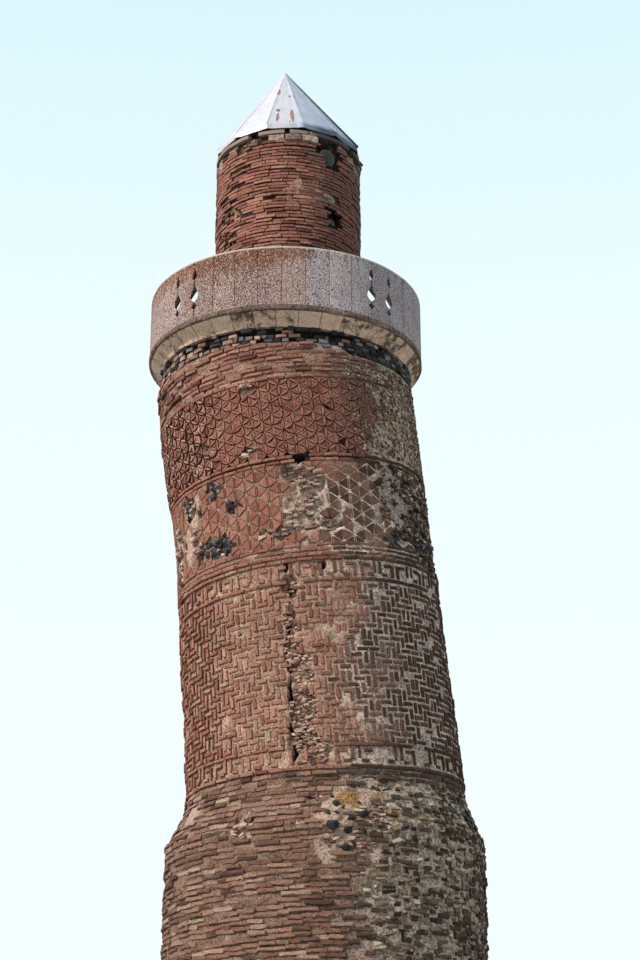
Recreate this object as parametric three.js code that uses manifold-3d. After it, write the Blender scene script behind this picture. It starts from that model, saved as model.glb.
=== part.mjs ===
// A leaning medieval brick minaret: a plumb square stone plinth, a round brick shaft that leans and bends to
// one side, a plumb stone balcony with a pierced parapet, and a narrow brick turret under a sheet-metal cone.
// Millimetres, +Z up, -Y is the front. The origin is the centre of the plinth's underside, on the ground.
import * as THREE from "three";
import { mergeVertices } from "three/addons/utils/BufferGeometryUtils.js";
import Module from "manifold-3d";

const wasm = await Module();
wasm.setup();

// Driving dimensions
const JOINT = 0.3; // free gap kept between neighbouring solids
const WELL_RADIUS = 1000; // the hollow inside the shaft
const PLINTH_HALF = 2600; // half the side of the square plinth
const PLINTH_WALL = 1600; // thickness of its walls
const FLOOR_TOP = 220; // top of the bottom course, which is the floor behind the doorway
const PLINTH_TOP = 4200;
const BROACH_FOOT = 3200; // where the plinth's corners start to slope in to an octagon
const DOOR_HALF_WIDTH = 420;
const DOOR_SPRING = 1750; // where the pointed arch of the entrance starts
const DOOR_APEX = 2150;
const BALCONY_X = -670; // centre of the balcony, carried aside by the lean of the shaft
const BALCONY_FLOOR = 14700;
const PARAPET_TOP = 15760;
const PARAPET_RADIUS = 2362;
const PARAPET_THICKNESS = 130;
const SLAB_DEGREES = 10; // one upright slab of the parapet
const PIERS = { front_left: -134, front_right: -47, back_right: 44, back_left: 134 }; // single slabs, from +X
const TURRET_X = -642;
const TURRET_RADIUS = 1300;
const TURRET_INNER = 900;
const TURRET_TOP = 18580;
const TURRET_DOOR_HALF_WIDTH = 320;
const TURRET_DOOR_TOP = 16450;
const EAVE_BOARD_TOP = 18680;
const CONE_FACETS = 13;
const CONE_TURN = -15.5; // the first fold, in degrees from the front towards the right
const CONE_RADIUS = 1345;
const CONE_FASCIA = 100; // height of the folded edge at the eave
const CONE_TIP = 20710;
const CONE_TIP_SHIFT = -80; // the tip has slipped aside
const CONE_SKIN = 30; // sheet on boards
const ARC_STEPS = 12; // flats along a quarter of a round wall

// The shaft's axis from below to above: height, sideways shift, lean in degrees and outer radius at each level.
const SHAFT = {
  drumFoot: { z: PLINTH_TOP, x: 0, lean: 0, r: 2500 },
  flareFoot: { z: 6320, x: 0, lean: 1.2, r: 2500 },
  flareTop: { z: 6950, x: 18, lean: 2.2, r: 2215 },
  meanderFoot: { z: 7150, x: 22, lean: 2.5, r: 2210 },
  meanderLow: { z: 8200, x: -58, lean: 4.6, r: 2180 },
  meanderHigh: { z: 9300, x: -162, lean: 5.2, r: 2160 },
  starFoot: { z: 10460, x: -262, lean: 5.4, r: 2150 },
  starMiddle: { z: 11250, x: -338, lean: 5.7, r: 2125 },
  rosetteFoot: { z: 12040, x: -425, lean: 5.9, r: 2135 },
  rosetteMiddle: { z: 12750, x: -520, lean: 6.0, r: 2165 },
  topFoot: { z: 13470, x: -610, lean: 5.7, r: 2178 },
  topMiddle: { z: 13950, x: -656, lean: 3.0, r: 2180 },
  balconyFoot: { z: 14400, x: BALCONY_X, lean: 0, r: 2175 },
};

// Finishes
const finish = (colour, roughness, metalness = 0) =>
  new THREE.MeshStandardMaterial({ color: colour, roughness, metalness });
const CUT_STONE = finish(0xb9a98d, 0.85);
const BRICK = finish(0x9c5b44, 0.9);
const BALCONY_STONE = finish(0xa89a84, 0.85);
const PARAPET_STONE = finish(0xa8958b, 0.9);
const SHEET_METAL = finish(0xd5d8de, 0.35, 0.8);
const TIMBER = finish(0x8d7c67, 0.85);
const HORN_GREY = finish(0x5b646c, 0.5);

const minaret = new THREE.Group();
const place = (name, geometry, material) => {
  const mesh = new THREE.Mesh(geometry, material);
  mesh.name = name;
  minaret.add(mesh);
};

const radians = THREE.MathUtils.degToRad;
const SIDES = { front: -90, right: 0, back: 90, left: 180 }; // middle of each quarter, in degrees from +X

// A geometry as a closed solid that can be cut and joined, and back.
const toSolid = (geometry) => {
  const bare = new THREE.BufferGeometry();
  const source = geometry.index ? geometry.toNonIndexed() : geometry;
  bare.setAttribute("position", source.getAttribute("position"));
  const merged = mergeVertices(bare, 1e-3);
  const vertProperties = new Float32Array(merged.attributes.position.array);
  const triVerts = new Uint32Array(merged.index.array);
  return new wasm.Manifold(new wasm.Mesh({ numProp: 3, vertProperties, triVerts }));
};
const toGeometry = (solid) => {
  const mesh = solid.getMesh();
  const geometry = new THREE.BufferGeometry();
  geometry.setAttribute("position", new THREE.BufferAttribute(mesh.vertProperties, 3));
  geometry.setIndex(new THREE.BufferAttribute(mesh.triVerts, 1));
  return geometry;
};
const cut = (geometry, ...cutters) =>
  toGeometry(cutters.reduce((solid, cutter) => solid.subtract(toSolid(cutter)), toSolid(geometry)));

// A sector of a round wall, lofted through levels from below to above. Each level has its height z, sideways
// shift x, lean in degrees and outer radius r. The first and last levels give way to the free joint.
function wallSector(fromDegrees, toDegrees, inner, levels, arcSteps = ARC_STEPS) {
  const slack = JOINT / 2 / inner;
  const start = radians(fromDegrees) + slack;
  const end = radians(toDegrees) - slack;
  const outer = levels[0].r;
  const outline = new THREE.Shape();
  const arc = (radius, from, to, isFirst) => {
    for (let i = 0; i <= arcSteps; i++) {
      const angle = from + ((to - from) * i) / arcSteps;
      const point = [radius * Math.cos(angle), radius * Math.sin(angle)];
      if (isFirst && i === 0) outline.moveTo(...point);
      else outline.lineTo(...point);
    }
  };
  arc(outer, start, end, true);
  arc(inner, end, start, false);
  const steps = levels.length - 1;
  const geometry = new THREE.ExtrudeGeometry(outline, { depth: steps, steps, bevelEnabled: false });
  const position = geometry.attributes.position;
  for (let i = 0; i < position.count; i++) {
    const level = levels[Math.round(position.getZ(i))];
    const [x, y] = [position.getX(i), position.getY(i)];
    const isOuter = Math.hypot(x, y) > (inner + outer) / 2;
    const scale = isOuter ? level.r / outer : 1;
    const lean = radians(level.lean ?? 0);
    position.setXYZ(i, level.x + x * scale * Math.cos(lean), y * scale, level.z + x * scale * Math.sin(lean));
  }
  return geometry;
}

// The same levels with the topmost lowered by the free joint.
const seated = (levels) =>
  levels.map((level, i) => (i === levels.length - 1 ? { ...level, z: level.z - JOINT } : level));

// Plinth: a bottom course that is also the floor, and walls round a square well, with a doorway in the front
function upright(outline, from, to) {
  const geometry = new THREE.ExtrudeGeometry(outline, { depth: to - from, bevelEnabled: false });
  return geometry.translate(0, 0, from);
}
function rectangle(x0, y0, x1, y1) {
  return new THREE.Shape([
    new THREE.Vector2(x0, y0),
    new THREE.Vector2(x1, y0),
    new THREE.Vector2(x1, y1),
    new THREE.Vector2(x0, y1),
  ]);
}
// A wedge that slopes one corner of the plinth in from the square to a regular octagon. Its sloping face holds
// the corner at the broach's foot and the two octagon corners at the plinth's top, and runs on past them.
function broachCut(signX, signY) {
  const run = 2 * PLINTH_HALF * (2 - Math.SQRT2);
  const top = BROACH_FOOT + 2 * (PLINTH_TOP - BROACH_FOOT);
  const corners = [
    [PLINTH_HALF, PLINTH_HALF, BROACH_FOOT],
    [PLINTH_HALF - run, PLINTH_HALF, top],
    [PLINTH_HALF, PLINTH_HALF - run, top],
    [PLINTH_HALF + run, PLINTH_HALF + run, top],
  ];
  const points = corners.map(([x, y, z]) => new THREE.Vector3(x * signX, y * signY, z));
  const faces = [[0, 2, 1], [0, 1, 3], [0, 3, 2], [1, 2, 3]];
  const mirrored = signX * signY < 0;
  const vertices = faces.flatMap((face) => (mirrored ? face.toReversed() : face).map((i) => points[i]));
  return new THREE.BufferGeometry().setFromPoints(vertices);
}

const WELL_HALF = PLINTH_HALF - PLINTH_WALL;
const wallFoot = FLOOR_TOP + JOINT;
const wallHead = PLINTH_TOP - JOINT;
place(
  "base_course",
  upright(rectangle(-PLINTH_HALF, -PLINTH_HALF, PLINTH_HALF, PLINTH_HALF), 0, FLOOR_TOP),
  CUT_STONE,
);
for (const [name, sign] of [["left", -1], ["right", 1]]) {
  const front = upright(
    rectangle(
      sign < 0 ? -PLINTH_HALF : DOOR_HALF_WIDTH + JOINT,
      -PLINTH_HALF,
      sign < 0 ? -DOOR_HALF_WIDTH - JOINT : PLINTH_HALF,
      -WELL_HALF,
    ),
    wallFoot,
    wallHead,
  );
  place(`plinth_front_${name}`, cut(front, broachCut(sign, -1)), CUT_STONE);
  const side = upright(
    rectangle(
      sign < 0 ? -PLINTH_HALF : WELL_HALF,
      -WELL_HALF + JOINT,
      sign < 0 ? -WELL_HALF : PLINTH_HALF,
      WELL_HALF - JOINT,
    ),
    wallFoot,
    wallHead,
  );
  place(`plinth_${name}`, side, CUT_STONE);
}
const plinthBack = upright(rectangle(-PLINTH_HALF, WELL_HALF, PLINTH_HALF, PLINTH_HALF), wallFoot, wallHead);
place("plinth_back", cut(plinthBack, broachCut(-1, 1), broachCut(1, 1)), CUT_STONE);

// The masonry over the entrance, with a pointed arch as its underside
function archedBlock(halfWidth, spring, apex, head) {
  const block = new THREE.Shape();
  const rise = apex - spring;
  const radius = (halfWidth ** 2 + rise ** 2) / (2 * halfWidth); // each half is an arc that meets the jamb upright
  block.moveTo(-halfWidth, spring);
  for (const side of [-1, 1]) {
    const sweep = Math.asin(rise / radius);
    for (let i = 0; i <= 6; i++) {
      const turn = (side < 0 ? i / 6 : 1 - i / 6) * sweep;
      block.lineTo(side * (halfWidth - radius + radius * Math.cos(turn)), spring + radius * Math.sin(turn));
    }
  }
  block.lineTo(halfWidth, head);
  block.lineTo(-halfWidth, head);
  return block;
}
const doorHead = archedBlock(DOOR_HALF_WIDTH, DOOR_SPRING, DOOR_APEX, wallHead);
const overDoor = new THREE.ExtrudeGeometry(doorHead, { depth: PLINTH_WALL, bevelEnabled: false });
place("plinth_over_door", overDoor.rotateX(Math.PI / 2).translate(0, -WELL_HALF, 0), CUT_STONE);

// Shaft: five bands of brickwork, each in four quarters round the well
const BANDS = {
  drum: ["drumFoot", "flareFoot", "flareTop", "meanderFoot"],
  meander: ["meanderFoot", "meanderLow", "meanderHigh", "starFoot"],
  star_band: ["starFoot", "starMiddle", "rosetteFoot"],
  rosette_band: ["rosetteFoot", "rosetteMiddle", "topFoot"],
  top_courses: ["topFoot", "topMiddle", "balconyFoot"],
};
for (const [band, levels] of Object.entries(BANDS)) {
  const stations = seated(levels.map((level) => SHAFT[level]));
  for (const [side, middle] of Object.entries(SIDES)) {
    place(`${band}_${side}`, wallSector(middle - 45, middle + 45, WELL_RADIUS, stations), BRICK);
  }
}

// Balcony: corbelled blocks whose tops are the floor, with a hollow moulding below and a square ledge above
const CORNICE = [
  { z: 14400, r: 2150 },
  { z: 14450, r: 2172 },
  { z: 14510, r: 2225 },
  { z: 14560, r: 2290 },
  { z: 14600, r: 2322 },
  { z: 14605, r: 2368 },
  { z: BALCONY_FLOOR, r: 2374 },
].map((level) => ({ ...level, x: BALCONY_X }));
for (const [side, middle] of Object.entries(SIDES)) {
  place(`balcony_${side}`, wallSector(middle - 45, middle + 45, WELL_RADIUS, seated(CORNICE)), BALCONY_STONE);
}

// Parapet: four single slabs with a row of upright slabs between each two, and a pierced joint wherever they meet
// The opening of a pierced joint: height above the floor and half width, from below to above.
const PIERCING = [
  [160, 3],
  [222, 45],
  [268, 6],
  [310, 6],
  [350, 40],
  [400, 56],
  [460, 44],
  [556, 8],
  [700, 6],
  [760, 24],
  [800, 31],
  [885, 3],
];
function piercedJoint(degrees) {
  const up = PIERCING.map(([height, half]) => new THREE.Vector2(half, height));
  const down = PIERCING.toReversed().map(([height, half]) => new THREE.Vector2(-half, height));
  const cutter = new THREE.ExtrudeGeometry(new THREE.Shape([...up, ...down]), {
    depth: PARAPET_THICKNESS * 4,
    bevelEnabled: false,
  });
  cutter.rotateX(Math.PI / 2).translate(0, -PARAPET_RADIUS + PARAPET_THICKNESS * 2, 0);
  return cutter.rotateZ(radians(degrees + 90)).translate(BALCONY_X, 0, BALCONY_FLOOR);
}
const PARAPET = [BALCONY_FLOOR, PARAPET_TOP].map((z) => ({ x: BALCONY_X, z, r: PARAPET_RADIUS }));
const PARAPET_INNER = PARAPET_RADIUS - PARAPET_THICKNESS;
const placeSlabs = (name, from, to, arcSteps) => {
  const slabs = wallSector(from, to, PARAPET_INNER, PARAPET, arcSteps);
  place(name, cut(slabs, piercedJoint(from), piercedJoint(to)), PARAPET_STONE);
};
const pierMiddles = Object.values(PIERS);
Object.keys(SIDES).forEach((side, i) => {
  const next = pierMiddles[i + 1] ?? pierMiddles[0] + 360;
  placeSlabs(`parapet_${side}`, pierMiddles[i] + SLAB_DEGREES / 2, next - SLAB_DEGREES / 2, 16);
});
for (const [corner, middle] of Object.entries(PIERS)) {
  placeSlabs(`parapet_slab_${corner}`, middle - SLAB_DEGREES / 2, middle + SLAB_DEGREES / 2, 2);
}

// Turret: a thinner round wall with a doorway to the balcony at the back and two broken openings at the front
const turretFoot = BALCONY_FLOOR + JOINT;
const turretWall = (from, to, z0, z1) => {
  const levels = [z0, z1].map((z) => ({ x: TURRET_X, z, r: TURRET_RADIUS }));
  return wallSector(from, to, TURRET_INNER, levels);
};
// An eight-sided plug along the radius, which breaks a hole through the wall.
function radialPlug({ degrees, z, halfWidth, halfHeight }) {
  const toFlats = 1 / Math.cos(Math.PI / 8);
  const plug = new THREE.CylinderGeometry(toFlats, toFlats, TURRET_RADIUS, 8, 1, false, Math.PI / 8);
  plug.scale(halfWidth, 1, halfHeight).translate(0, -TURRET_RADIUS, 0);
  return plug.rotateZ(radians(degrees + 90)).translate(TURRET_X, 0, z);
}
const LOWER_HOLE = { degrees: -51, z: 17050, halfWidth: 140, halfHeight: 160 };
const UPPER_HOLE = { degrees: -56, z: 18340, halfWidth: 205, halfHeight: 280 }; // it is open up to the eave
const brokenWall = cut(turretWall(-135, -45, turretFoot, TURRET_TOP), radialPlug(LOWER_HOLE), radialPlug(UPPER_HOLE));
place("turret_front", brokenWall, BRICK);
place("turret_right", turretWall(-45, 45, turretFoot, TURRET_TOP), BRICK);
place("turret_left", turretWall(135, 225, turretFoot, TURRET_TOP), BRICK);
// A block as wide as the doorway and as tall as the turret. It cuts the jambs, and holds the masonry over the door.
const doorBlock = (halfWidth) => {
  const block = new THREE.BoxGeometry(halfWidth * 2, TURRET_RADIUS, TURRET_TOP * 2);
  return block.translate(TURRET_X, TURRET_RADIUS, TURRET_TOP);
};
const jambCut = doorBlock(TURRET_DOOR_HALF_WIDTH);
place("turret_back_right", cut(turretWall(45, 90, turretFoot, TURRET_TOP), jambCut), BRICK);
place("turret_back_left", cut(turretWall(90, 135, turretFoot, TURRET_TOP), jambCut), BRICK);
const overTurretDoor = toSolid(turretWall(60, 120, TURRET_DOOR_TOP, TURRET_TOP));
const betweenJambs = toSolid(doorBlock(TURRET_DOOR_HALF_WIDTH - JOINT));
place("turret_over_door", toGeometry(overTurretDoor.intersect(betweenJambs)), BRICK);

// Cone roof on a ring of eave boards: flat sheets with a folded edge, hollow below
const turned = (profile, segments, turnDegrees = 0) => {
  const points = profile.map(([radius, z]) => new THREE.Vector2(radius, z));
  return new THREE.LatheGeometry(points, segments, radians(turnDegrees)).rotateX(Math.PI / 2);
};
const boardFoot = TURRET_TOP + JOINT;
const eaveBoard = turned(
  [
    [1050, boardFoot],
    [1325, boardFoot],
    [1325, EAVE_BOARD_TOP],
    [1050, EAVE_BOARD_TOP],
    [1050, boardFoot],
  ],
  48,
);
place("eave_board", eaveBoard.translate(TURRET_X, 0, 0), TIMBER);

// The cone stands on z = 0 here, so that shifting its tip aside leaves its foot in place.
const coneFoot = EAVE_BOARD_TOP + JOINT;
const coneHeight = CONE_TIP - coneFoot;
const pitch = (coneHeight - CONE_FASCIA) / CONE_RADIUS;
const sheetRise = CONE_SKIN * Math.hypot(1, pitch); // the sheet's thickness, measured upright
const cone = turned(
  [
    [0, coneHeight - sheetRise],
    [CONE_RADIUS - CONE_SKIN, CONE_FASCIA + CONE_SKIN * pitch - sheetRise],
    [CONE_RADIUS - CONE_SKIN, 0],
    [CONE_RADIUS, 0],
    [CONE_RADIUS, CONE_FASCIA],
    [0, coneHeight],
  ],
  CONE_FACETS,
  CONE_TURN,
);
const slip = new THREE.Matrix4().makeShear(0, 0, 0, 0, CONE_TIP_SHIFT / coneHeight, 0);
place("cone_roof", cone.applyMatrix4(slip).translate(TURRET_X, 0, coneFoot), SHEET_METAL);

// Loudspeakers: each a flared bell on a round driver, held by a foot that stands on the sill of its opening
const BELL_WALL = 6;
function standHorn(name, hole, bellRadius, mouthRadius) {
  const length = bellRadius * 1.8;
  const driver = bellRadius * 0.4;
  const neck = bellRadius * 0.25;
  const bell = turned(
    [
      [0, 0],
      [driver, 0],
      [driver, length * 0.35],
      [neck, length * 0.35],
      [bellRadius * 0.45, length * 0.75],
      [bellRadius, length],
      [bellRadius - BELL_WALL, length],
      [bellRadius * 0.45 - BELL_WALL, length * 0.77],
      [0, length * 0.5],
    ],
    24,
  );
  bell.rotateX(Math.PI / 2).translate(0, length - mouthRadius, 0); // its mouth faces the front
  const sill = hole.z - hole.halfHeight + JOINT;
  const footHeight = bellRadius * 1.15;
  const foot = new THREE.BoxGeometry(driver, length * 0.3, footHeight);
  foot.translate(0, length * 0.82 - mouthRadius, -footHeight / 2);
  const speaker = toGeometry(toSolid(bell).add(toSolid(foot)));
  speaker.translate(0, 0, sill + footHeight);
  place(name, speaker.rotateZ(radians(hole.degrees + 90)).translate(TURRET_X, 0, 0), HORN_GREY);
}
standHorn("loudspeaker_lower", LOWER_HOLE, 80, 1215);
standHorn("loudspeaker_upper", UPPER_HOLE, 160, 1240);

export default minaret;
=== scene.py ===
# %% [markdown]
# # A leaning brick minaret
# This lesson dresses the bare solids of a medieval minaret in its real skin: thousands of single bricks in
# patterned bands, mortar, a stone balcony and a dented metal cone. Lengths are metres, Z is up, the front
# is -Y.

import math
from itertools import product

import bmesh
import bpy
import numpy as np
from mathutils import Matrix, Vector


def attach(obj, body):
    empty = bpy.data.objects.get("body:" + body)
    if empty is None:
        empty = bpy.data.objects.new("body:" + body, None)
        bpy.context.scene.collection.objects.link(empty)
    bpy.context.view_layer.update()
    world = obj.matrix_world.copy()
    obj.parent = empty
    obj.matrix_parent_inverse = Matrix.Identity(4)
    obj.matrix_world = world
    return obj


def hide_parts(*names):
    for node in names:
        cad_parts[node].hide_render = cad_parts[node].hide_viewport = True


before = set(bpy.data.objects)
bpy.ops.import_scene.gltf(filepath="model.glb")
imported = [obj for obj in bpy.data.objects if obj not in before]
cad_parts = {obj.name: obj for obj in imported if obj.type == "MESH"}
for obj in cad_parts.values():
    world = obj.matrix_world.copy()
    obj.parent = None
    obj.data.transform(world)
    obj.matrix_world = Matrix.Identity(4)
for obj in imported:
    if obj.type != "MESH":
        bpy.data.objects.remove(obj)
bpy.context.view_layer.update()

# %% [markdown]
# ## The camera
# Seen from the ground, a tower's rings become arcs, and the arcs tell where the camera stood, how it tilts
# and how long its lens is.


# %% Camera
def placed(name, data):
    """A new object in the scene."""
    made = bpy.data.objects.new(name, data)
    bpy.context.scene.collection.objects.link(made)
    return made


TILT = math.radians(21.297)
camera = placed("street_camera", bpy.data.cameras.new("street_camera"))
camera.data.lens, camera.data.sensor_width = 66.65, 36.0
camera.location = (-0.07, -28.12, 1.6)
camera.rotation_euler = (math.pi / 2 + TILT, 0.0, 0.0)
bpy.context.scene.camera = camera

# %% [markdown]
# ## Wall coordinates
# Bricks follow a wall, so places are given as azimuth from the front, height, and metres out of the wall.
# The shaft leans and bends, so its axis is a list of levels, and wall functions turn such places into
# points.

# %% Walls
LEVELS = np.array([  # height, sideways shift, lean in degrees, radius
    (4.20, 0, 0, 2.5), (6.32, 0, 1.2, 2.5), (6.95, 0.018, 2.2, 2.215), (7.15, 0.022, 2.5, 2.21),
    (8.20, -0.058, 4.6, 2.18), (9.30, -0.162, 5.2, 2.16), (10.46, -0.262, 5.4, 2.15),
    (11.25, -0.338, 5.7, 2.125), (12.04, -0.425, 5.9, 2.135), (12.75, -0.52, 6.0, 2.165),
    (13.47, -0.61, 5.7, 2.178), (13.95, -0.656, 3.0, 2.18), (14.40, -0.67, 0, 2.175),
])
BALCONY_X, BALCONY_FLOOR, BALCONY_RADIUS, PARAPET_TOP = -0.670, 14.70, 2.362, 15.76
TURRET_X, TURRET_RADIUS, TURRET_INNER, TURRET_TOP = -0.642, 1.30, 0.90, 18.58
WELL_RADIUS = 1.0
AROUND = 2.17  # one radius for measuring along the shaft's courses


def level(height, column):
    return np.interp(height, LEVELS[:, 0], LEVELS[:, column])


def shaft(azimuth, height, out=0.0):
    """Points on the shaft. Azimuth is in radians and grows towards the right."""
    shift, lean, radius = level(height, 1), np.radians(level(height, 2)), level(height, 3) + out
    side = radius * np.sin(azimuth)
    return np.stack(
        [shift + side * np.cos(lean), -radius * np.cos(azimuth), height + side * np.sin(lean)], axis=-1
    )


def inside_shaft(azimuth, height):
    return shaft(azimuth, height, WELL_RADIUS - level(height, 3))


def round_wall(centre_x, wall_radius):
    """The wall function of an upright round wall."""

    def wall(azimuth, height, out=0.0):
        radius = wall_radius + out + 0.0 * azimuth
        return np.stack(
            [centre_x + radius * np.sin(azimuth), -radius * np.cos(azimuth), height + 0.0 * radius], -1
        )

    return wall


turret = round_wall(TURRET_X, TURRET_RADIUS)
# Walls with the radius that turns metres into azimuth.
SHAFT, TURRET = (shaft, AROUND), (turret, TURRET_RADIUS)
BALCONY = (round_wall(BALCONY_X, BALCONY_RADIUS), BALCONY_RADIUS)


# %% Rough values on a wall
def rough(azimuth, height, size, seed):
    """Smooth random values from 0 to 1 with bumps about as wide as size, in metres, closed round the back."""
    cells = max(4, round(2 * math.pi * AROUND / size))
    table = np.random.default_rng(seed).random((cells, 512))
    across = (np.asarray(azimuth, float) / (2 * math.pi) + 0.5) * cells
    up = np.asarray(height, float) / size + 7.3
    i, j = np.floor(across).astype(int), np.floor(up).astype(int)
    p, q = across - i, up - j
    p, q = p * p * (3 - 2 * p), q * q * (3 - 2 * q)
    c00, c01, c10, c11 = (table[(i + di) % cells, (j + dj) % 512] for di in (0, 1) for dj in (0, 1))
    return (c00 * (1 - q) + c01 * q) * (1 - p) + (c10 * (1 - q) + c11 * q) * p


def ramp(value, low, high):
    """0 below low, 1 above high and smooth between."""
    t = np.clip((value - low) / (high - low), 0.0, 1.0)
    return t * t * (3 - 2 * t)


# %% [markdown]
# ## Where the tower is damaged
# The crack, the fallen facing and the repairs are drawn once, in wall coordinates, and all else asks this
# map. An ellipse with a wandering edge stands for each patch, and a bent line for a crack.


# %% The damage map
def table_of(*rows):
    """Patches: azimuth in degrees and height, then half width, half height and strength in hundredths."""
    return [(azimuth, height, *(value / 100 for value in rest)) for azimuth, height, *rest in rows]


LOSSES = table_of(  # where the facing has fallen: the strength is its depth
    (2, 11.66, 30, 36, 5), (1.5, 11.2, 38, 36, 6), (-2.5, 11.86, 20, 16, 13), (-8, 10.92, 20, 14, 7),
    (11, 10.98, 26, 20, 6), (-16, 10.92, 20, 10, 4), (-17.4, 13.38, 15, 10, 2.2), (-19.9, 12.33, 17, 8, 2.2),
    (-40.9, 12.59, 8, 9, 2.2), (58, 10.84, 30, 20, 5), (66, 10.6, 50, 14, 5), (-6, 8.66, 20, 30, 6),
    (-7, 8.1, 24, 38, 7), (-8, 7.62, 24, 30, 7), (-4.5, 7.4, 24, 18, 4), (-8.5, 9.98, 13, 16, 10),
    (-8.8, 9.42, 13, 34, 5), (-9.5, 9.02, 12, 25, 5), (62, 11.33, 92, 66, 4), (42, 11.4, 20, 46, 3),
    (80, 10.9, 50, 50, 6), (46, 11.47, 50, 56, 6), (72, 10.62, 30, 16, 4), (-58.5, 11.78, 22, 22, 6),
    (-41, 11.93, 24, 10, 6), (-31, 11.53, 10, 12, 6), (-41, 10.96, 34, 22, 7), (-72, 11.1, 30, 60, 4),
    (-53, 11.06, 18, 34, 3), (-29.5, 6.33, 16, 22, 5), (9, 6.06, 34, 26, 3), (19, 6.42, 16, 26, 3),
    (-62, 6.75, 26, 20, 1), (-3, 6.72, 14, 5, 7), (-9, 6.3, 10, 6, 6), (-51, 17.15, 24, 17, 6),
    (-55, 16.75, 21, 21, 6), (-62, 16.85, 10, 14, 6), (-42, 17.72, 5, 7, 6), (-47, 18.06, 6, 5, 6),
    (-33, 18.47, 18, 10, 7),
)
PLASTER = table_of(
    (4.3, 9.9, 6, 6, 100), (10.3, 10.02, 5, 4, 100), (6, 9.27, 17, 11, 100), (11, 9.17, 10, 6, 100),
    (18.1, 9.12, 6, 9, 100), (11, 8.13, 13, 8, 100), (35.1, 8.46, 7, 22, 100), (23.6, 7.86, 8, 8, 100),
    (-32.9, 9.97, 5, 9, 100), (-33, 9.45, 9, 3, 100), (-42.3, 8.06, 11, 10, 60), (-36, 7.95, 8, 8, 60),
    (-16.6, 7.25, 12, 8, 60), (22.1, 7.36, 14, 8, 100), (42.1, 7.35, 12, 6, 100), (41, 12.66, 14, 24, 80),
    (-24, 10.6, 16, 5, 50), (-14, 10.5, 12, 5, 50), (-7, 10.61, 15, 5, 90), (-52, 11.8, 20, 16, 80),
    (47, 11.5, 42, 46, 100), (66, 11.55, 12, 30, 80), (36.5, 11.14, 14, 16, 100), (19.6, 11.25, 10, 9, 100),
    (22, 10.95, 9, 6, 100), (-54.5, 11.62, 16, 26, 100), (-61.5, 11.1, 26, 38, 100), (-50, 11.05, 4, 30, 100),
    (-72, 11.1, 34, 60, 80), (2, 11.36, 44, 62, 75), (56, 11.2, 16, 12, 70), (-5, 8.3, 22, 55, 30),
    (1.5, 6.45, 20, 42, 90), (1, 5.95, 16, 40, 80), (7.5, 6.66, 30, 22, 100), (6.5, 6.15, 20, 34, 80),
    (18, 6.74, 26, 16, 56), (-29, 6.32, 12, 24, 60), (-62, 6.75, 22, 20, 70), (-60, 6.3, 12, 14, 50),
    (36, 17.4, 14, 9, 70),
)
LICHEN = table_of(
    (10, 6.7, 36, 22, 95), (19, 6.7, 26, 22, 60), (25, 6.45, 16, 26, 90), (2, 6.05, 14, 20, 45),
    (46, 13, 44, 50, 55), (60, 12.7, 60, 60, 36), (52, 13.8, 50, 20, 36),
)
HOLES = table_of(
    (0.4, 12.1, 11.5, 5.5, 20), (5.7, 10.32, 5.5, 6.5, 20), (-9.5, 10.34, 3.5, 7, 20),
    (15.3, 12.94, 3, 4.5, 15), (28.6, 13.3, 5, 6, 20), (-31.6, 9.42, 5, 1.5, 15), (35.9, 16.56, 2, 2, 10),
    (27, 18.3, 8, 17, 14), (40.5, 17.1, 23, 20, 14), (-13, 17.32, 10, 2.2, 8), (-36, 17.07, 9, 2.2, 8),
    (-50, 17.46, 8, 2.5, 8), (-62, 17.6, 6, 3, 8), (-38, 18.05, 8, 2, 7), (-47, 18.28, 9, 2.2, 7),
    (-58, 16.3, 9, 3, 8), (-66, 16.05, 7, 4, 8),
)
luck = np.random.default_rng(7)  # the side that no picture shows is worn in the same manner
far_losses = luck.uniform((88, 5, 0.1, 0.1, 0.03, 0.2), (272, 13.3, 0.32, 0.3, 0.07, 0.9), (14, 6))
for *spot, depth, cover in far_losses.tolist():
    LOSSES.append((*spot, depth))
    PLASTER.append((*spot, cover))
far_plaster = luck.uniform((80, 4.6, 0.05, 0.05), (280, 13.4, 0.16, 0.14), (26, 4))
PLASTER += [(*spot, 1) for spot in far_plaster.tolist()]
smears = luck.uniform((6, 7.3, 0.03, 0.03, 0.5), (84, 10.4, 0.12, 0.09, 1), (60, 5))  # on the right
PLASTER += smears.tolist()
CRACK = [
    (-9, 10.12), (-9, 9.85), (-10.4, 9.45), (-12.6, 8.92), (-11.8, 8.55), (-12.3, 8.05), (-12.2, 7.8),
    (-12, 7.35)
]
BRANCH = [(-12.2, 7.55), (-9.5, 7.66), (-7.0, 7.82), (-5.6, 7.98)]
SLIT = [(-53.4, 11.32), (-52.8, 11.05), (-52.4, 10.78)]


def wrapped(azimuth):
    return (np.asarray(azimuth) + math.pi) % (2 * math.pi) - math.pi


def reach(height):
    """The radius that turns angles into metres: above the balcony it is the turret's."""
    return np.where(np.asarray(height) < BALCONY_FLOOR, AROUND, TURRET_RADIUS)


def from_patch(azimuth, height, patch):
    """Below 1 inside a patch, above 1 outside."""
    across = wrapped(azimuth - math.radians(patch[0])) * reach(height)
    return np.hypot(across / patch[2], (height - patch[1]) / patch[3])


def patches(azimuth, height, table, soft, wander):
    """The strongest patch of a table at a place."""
    found = np.zeros(np.broadcast(azimuth, height).shape)
    for patch in table:
        found = np.maximum(
            found, patch[4] * (1 - ramp(from_patch(azimuth, height, patch) + wander, 1 - soft, 1.0))
        )
    return found


def wandering(azimuth, height):
    return 0.7 * (rough(azimuth, height, 0.26, 1) - 0.5) + 0.6 * (rough(azimuth, height, 0.10, 2) - 0.5)


def loss(azimuth, height):
    """How deep the facing is gone, in metres."""
    return patches(azimuth, height, LOSSES, 0.3, wandering(azimuth, height))


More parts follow.
